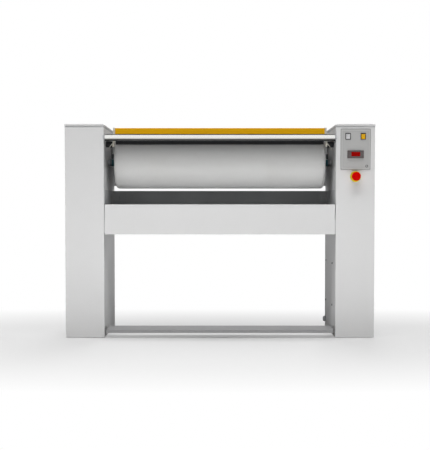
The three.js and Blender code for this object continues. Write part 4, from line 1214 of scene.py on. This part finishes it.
class IRONER_OT_emergency_stop(Operator):
    """Red mushroom head and stem, on a yellow collar"""

    bl_idname = "ironer.emergency_stop"
    bl_label = "Emergency stop"

    def execute(self, context):
        low, high = span("estop_cap")
        centre = (low[[0, 2]] + high[[0, 2]]) / 2
        front, back, r, bore = low[1], high[1], (high[0] - low[0]) / 2, 6.3 * MM
        corners = [
            (front + 10 * MM, 0.0), (front + 10 * MM, bore), (back, bore), (back, r * 0.8),
            (back - 6 * MM, r * 0.99), (back - 10 * MM, r), (front + 4.5 * MM, r),
            (front + 0.9 * MM, r * 0.8), (front, r * 0.4), (front, 0.0),
        ]
        radii = np.array([0, 0.3, 0.3, 1.2, 1.5, 1.5, 3.4, 2.5, 2.5, 0]) * MM
        profile = round_corners(corners, radii, False, 6)
        cap = turned_piece("stop_head", profile, centre, "y", angle=50.0)
        stand_in(cap, "signal_red", "estop_cap")
        repaint("black_plastic", "estop_stem")
        low, high = span("estop_collar")
        front, back, r = low[1], high[1], (high[0] - low[0]) / 2
        bore, neck = 6.4 * MM, 10.8 * MM
        seat = span("control_panel")[1][1] - 0.3 * MM
        corners = [
            (seat, neck), (seat, r), (front + 8.4 * MM, r), (front, r * 0.86), (front, r * 0.6),
            (front + 1 * MM, r * 0.52), (front + 1 * MM, bore), (back, bore), (back, neck),
        ]
        radii = np.array([0.1, 0.8, 2.0, 1.4, 0.5, 0.4, 0.3, 0.3, 0.5]) * MM
        outline = round_corners(corners, radii, True, 5)
        collar = turned_piece("stop_collar", outline, centre, "y", loop=True, angle=50.0)
        stand_in(collar, "signal_yellow", "estop_collar")
        return {"FINISHED"}


class IRONER_OT_electrics(Operator):
    """Cable gland on the inner wall and the contactors inside the left pillar"""

    bl_idname = "ironer.electrics"
    bl_label = "Electrics"

    def execute(self, context):
        middle, r, start, end = round_node("cable_gland")
        bore, neck, nut_end = 4.5 * MM, 8 * MM, start + 13 * MM
        corners = [
            (start, bore), (start, r * 0.7), (start + 5.2 * MM, r), (nut_end, r), (nut_end, neck),
            (end, neck), (end, bore),
        ]
        radii = np.array([0.5, 1.5, 1.5, 0.5, 0.3, 0.4, 0.3]) * MM
        outline = round_corners(corners, radii, True, 5)
        gland = turned_piece("gland_body", outline, middle, loop=True, squareness=0.7)
        stand_in(gland, "grey_plastic", "cable_gland")
        rounded_copy(
            "contactor_skin", "contactor_block", "grey_plastic", 1.2 * MM,
        )
        return {"FINISHED"}


class IRONER_OT_stage(Operator):
    """Pale floor, white surroundings, soft lamps and the camera"""

    bl_idname = "ironer.stage"
    bl_label = "Stage"

    def execute(self, context):
        self.floor()
        self.surroundings()
        # Each lamp's place, turn in degrees, size, spread in degrees and power in watts.
        lamps = {
            "overhead_softbox": ((-0.3, -1.3, 3.2), (25, 0, -3), (3.8, 0.8), 120, 38.0),
            "floor_bounce": ((0.0, -0.9, 0.02), (180, 0, 0), (3.4, 0.85), 180, 6.6),
            "low_softbox": ((0.0, -1.5, 0.06), (114, 0, 0), (4.4, 0.13), 100, 7.3),
            "side_softbox_right": ((4.6, 0.02, 0.75), (90, 0, 90), (0.36, 1.5), 100, 28.0),
            "side_softbox_left": ((-4.6, 0.02, 0.75), (90, 0, -90), (0.36, 1.5), 100, 28.0),
            "rear_softbox": ((0.4, 5.0, 2.2), (75, 0, 175), (2.4, 1.4), 60, 23.0),
        }
        for name, (place, turn, size, spread, power) in lamps.items():
            lamp = bpy.data.lights.new(name, "AREA")
            lamp.shape, lamp.size, lamp.size_y, lamp.energy = "RECTANGLE", *size, power
            lamp.spread = math.radians(spread)
            holder = bpy.data.objects.new(name, lamp)
            holder.location = place
            holder.rotation_euler = [math.radians(a) for a in turn]
            holder.visible_glossy = holder.visible_camera = False
            context.scene.collection.objects.link(holder)
        self.camera()
        context.scene.view_settings.view_transform = "Standard"
        return {"FINISHED"}

    def indirect(self, stage, path):
        """1 for rays that carry the background after a mirror or a clear piece."""
        rays = path.outputs["Is Glossy Ray"], path.outputs["Is Transmission Ray"]
        return stage.maths("MAXIMUM", *rays)

    def floor(self):
        """A disc of floor. Near the object it is lit and keeps the shadow, and further off it fades
        into white with the distance from a point before the object, which counts less along x."""
        radius = np.array([0.0, 1.0, 2.0, 4.0, 8.0, 16.0, 30.0])
        ring = radius[:, None, None] * np.insert(circle(full_turn(96)), 2, 0.0, axis=1)
        ground = make_piece("floor", ring, (False, True), closed=False)
        if ground.data.polygons[0].normal.z < 0:
            ground.data.flip_normals()
        paint = Finish("floor_paint", (0.7, 0.7, 0.7), 0.5, **{SPECULAR: 0.1})
        paint.gloss(3.0, 0.02)
        shift = {0: paint.place((0.35, 1.0, 1.0)), 1: (0.0, 0.2, 0.0)}
        moved = paint.add("VectorMath", shift, operation="ADD").outputs[0]
        away = paint.add("VectorMath", {0: moved}, operation="LENGTH").outputs[1]
        path = paint.add("LightPath")
        near, far = paint.remap(away, 0.0, 0.4, 0.1, 0.42), paint.remap(away, 0.4, 1.25, 0.0, 0.58)
        white = paint.maths("ADD", near, far)
        seen = paint.maths("MULTIPLY", white, path.outputs["Is Camera Ray"])
        mirrored = paint.maths(
            "MULTIPLY", paint.remap(away, 0.9, 2.2, 0.0, 1.0), self.indirect(paint, path),
        )
        shown = paint.maths("MAXIMUM", seen, mirrored)
        glow = paint.add("Emission", {"Color": (1.0, 1.0, 1.0, 1.0), "Strength": 1.0}).outputs[0]
        mixed = paint.add("MixShader", {0: shown, 1: paint.surface.outputs[0], 2: glow})
        paint.fill(paint.nodes["Material Output"], {"Surface": mixed.outputs[0]})
        ground.data.materials.append(paint.material)

    def surroundings(self):
        """White all round but for a dark patch high up behind; it lights the object only weakly."""
        world = bpy.data.worlds.new("white_studio")
        bpy.context.scene.world = world
        world.use_nodes = True
        world.node_tree.nodes.clear()
        sky = Nodes(world.node_tree)
        ray = sky.add("SeparateXYZ", {0: sky.add("TexCoord").outputs["Generated"]})
        above = sky.maths("ADD", ray.outputs[2], sky.maths("MULTIPLY", ray.outputs[1], 0.6))
        ceiling = sky.remap(above, 0.95, 1.05, 1.0, 0.02, smooth=True)
        path = sky.add("LightPath")
        direct = sky.maths("MAXIMUM", path.outputs["Is Camera Ray"], self.indirect(sky, path))
        lit, seen = (
            sky.add("Background", {"Color": (1.0, 1.0, 1.0, 1.0), "Strength": level}).outputs[0]
            for level in (sky.maths("MULTIPLY", ceiling, 0.03), ceiling)
        )
        both = sky.add("MixShader", {0: direct, 1: lit, 2: seen})
        sky.add("OutputWorld", {"Surface": both.outputs[0]}).is_active_output = True

    def camera(self):
        """A camera square to the machine and tipped down a little, with the photograph's frame."""
        size = sizes()
        lens, sensor, shift, tipped_down = 71.97, 36.0, (-0.0108, 0.033), 2.06
        eye = bpy.data.cameras.new("camera")
        eye.lens, eye.sensor_width = lens, sensor
        eye.shift_x, eye.shift_y = shift
        eye.clip_end = 100.0
        holder = bpy.data.objects.new("camera", eye)
        front = span("casing_right")[0][1]
        holder.location = (0.0, front - size.camera_distance, size.camera_height)
        holder.rotation_euler = (math.radians(90 - tipped_down), 0.0, 0.0)
        bpy.context.scene.collection.objects.link(holder)
        bpy.context.scene.camera = holder


class IRONER_PT_looks(Panel):
    bl_label = "Ironer looks"
    bl_space_type = "VIEW_3D"
    bl_region_type = "UI"
    bl_category = "Ironer"

    def draw(self, context):
        for operator in OPERATORS:
            self.layout.operator(operator.bl_idname)
        for group in (context.scene.ironer_sizes, context.scene.ironer_colours):
            for name in group.bl_rna.properties.keys():
                if name not in ("rna_type", "name"):
                    self.layout.prop(group, name)


OPERATORS = (
    IRONER_OT_pillars, IRONER_OT_roller, IRONER_OT_bearings, IRONER_OT_chest, IRONER_OT_feed_bar,
    IRONER_OT_finger_guard, IRONER_OT_tray, IRONER_OT_treadle, IRONER_OT_drive, IRONER_OT_controls,
    IRONER_OT_emergency_stop, IRONER_OT_electrics, IRONER_OT_stage,
)
CLASSES = (IRONER_PG_sizes, IRONER_PG_colours, *OPERATORS, IRONER_PT_looks)


def register():
    for kind in CLASSES:
        bpy.utils.register_class(kind)
    bpy.types.Scene.ironer_sizes = PointerProperty(type=IRONER_PG_sizes)
    bpy.types.Scene.ironer_colours = PointerProperty(type=IRONER_PG_colours)


def unregister():
    del bpy.types.Scene.ironer_colours
    del bpy.types.Scene.ironer_sizes
    for kind in reversed(CLASSES):
        bpy.utils.unregister_class(kind)


def main():
    register()
    for operator in OPERATORS:
        getattr(bpy.ops.ironer, operator.bl_idname.split(".")[1])()


if __name__ == "__main__":
    main()
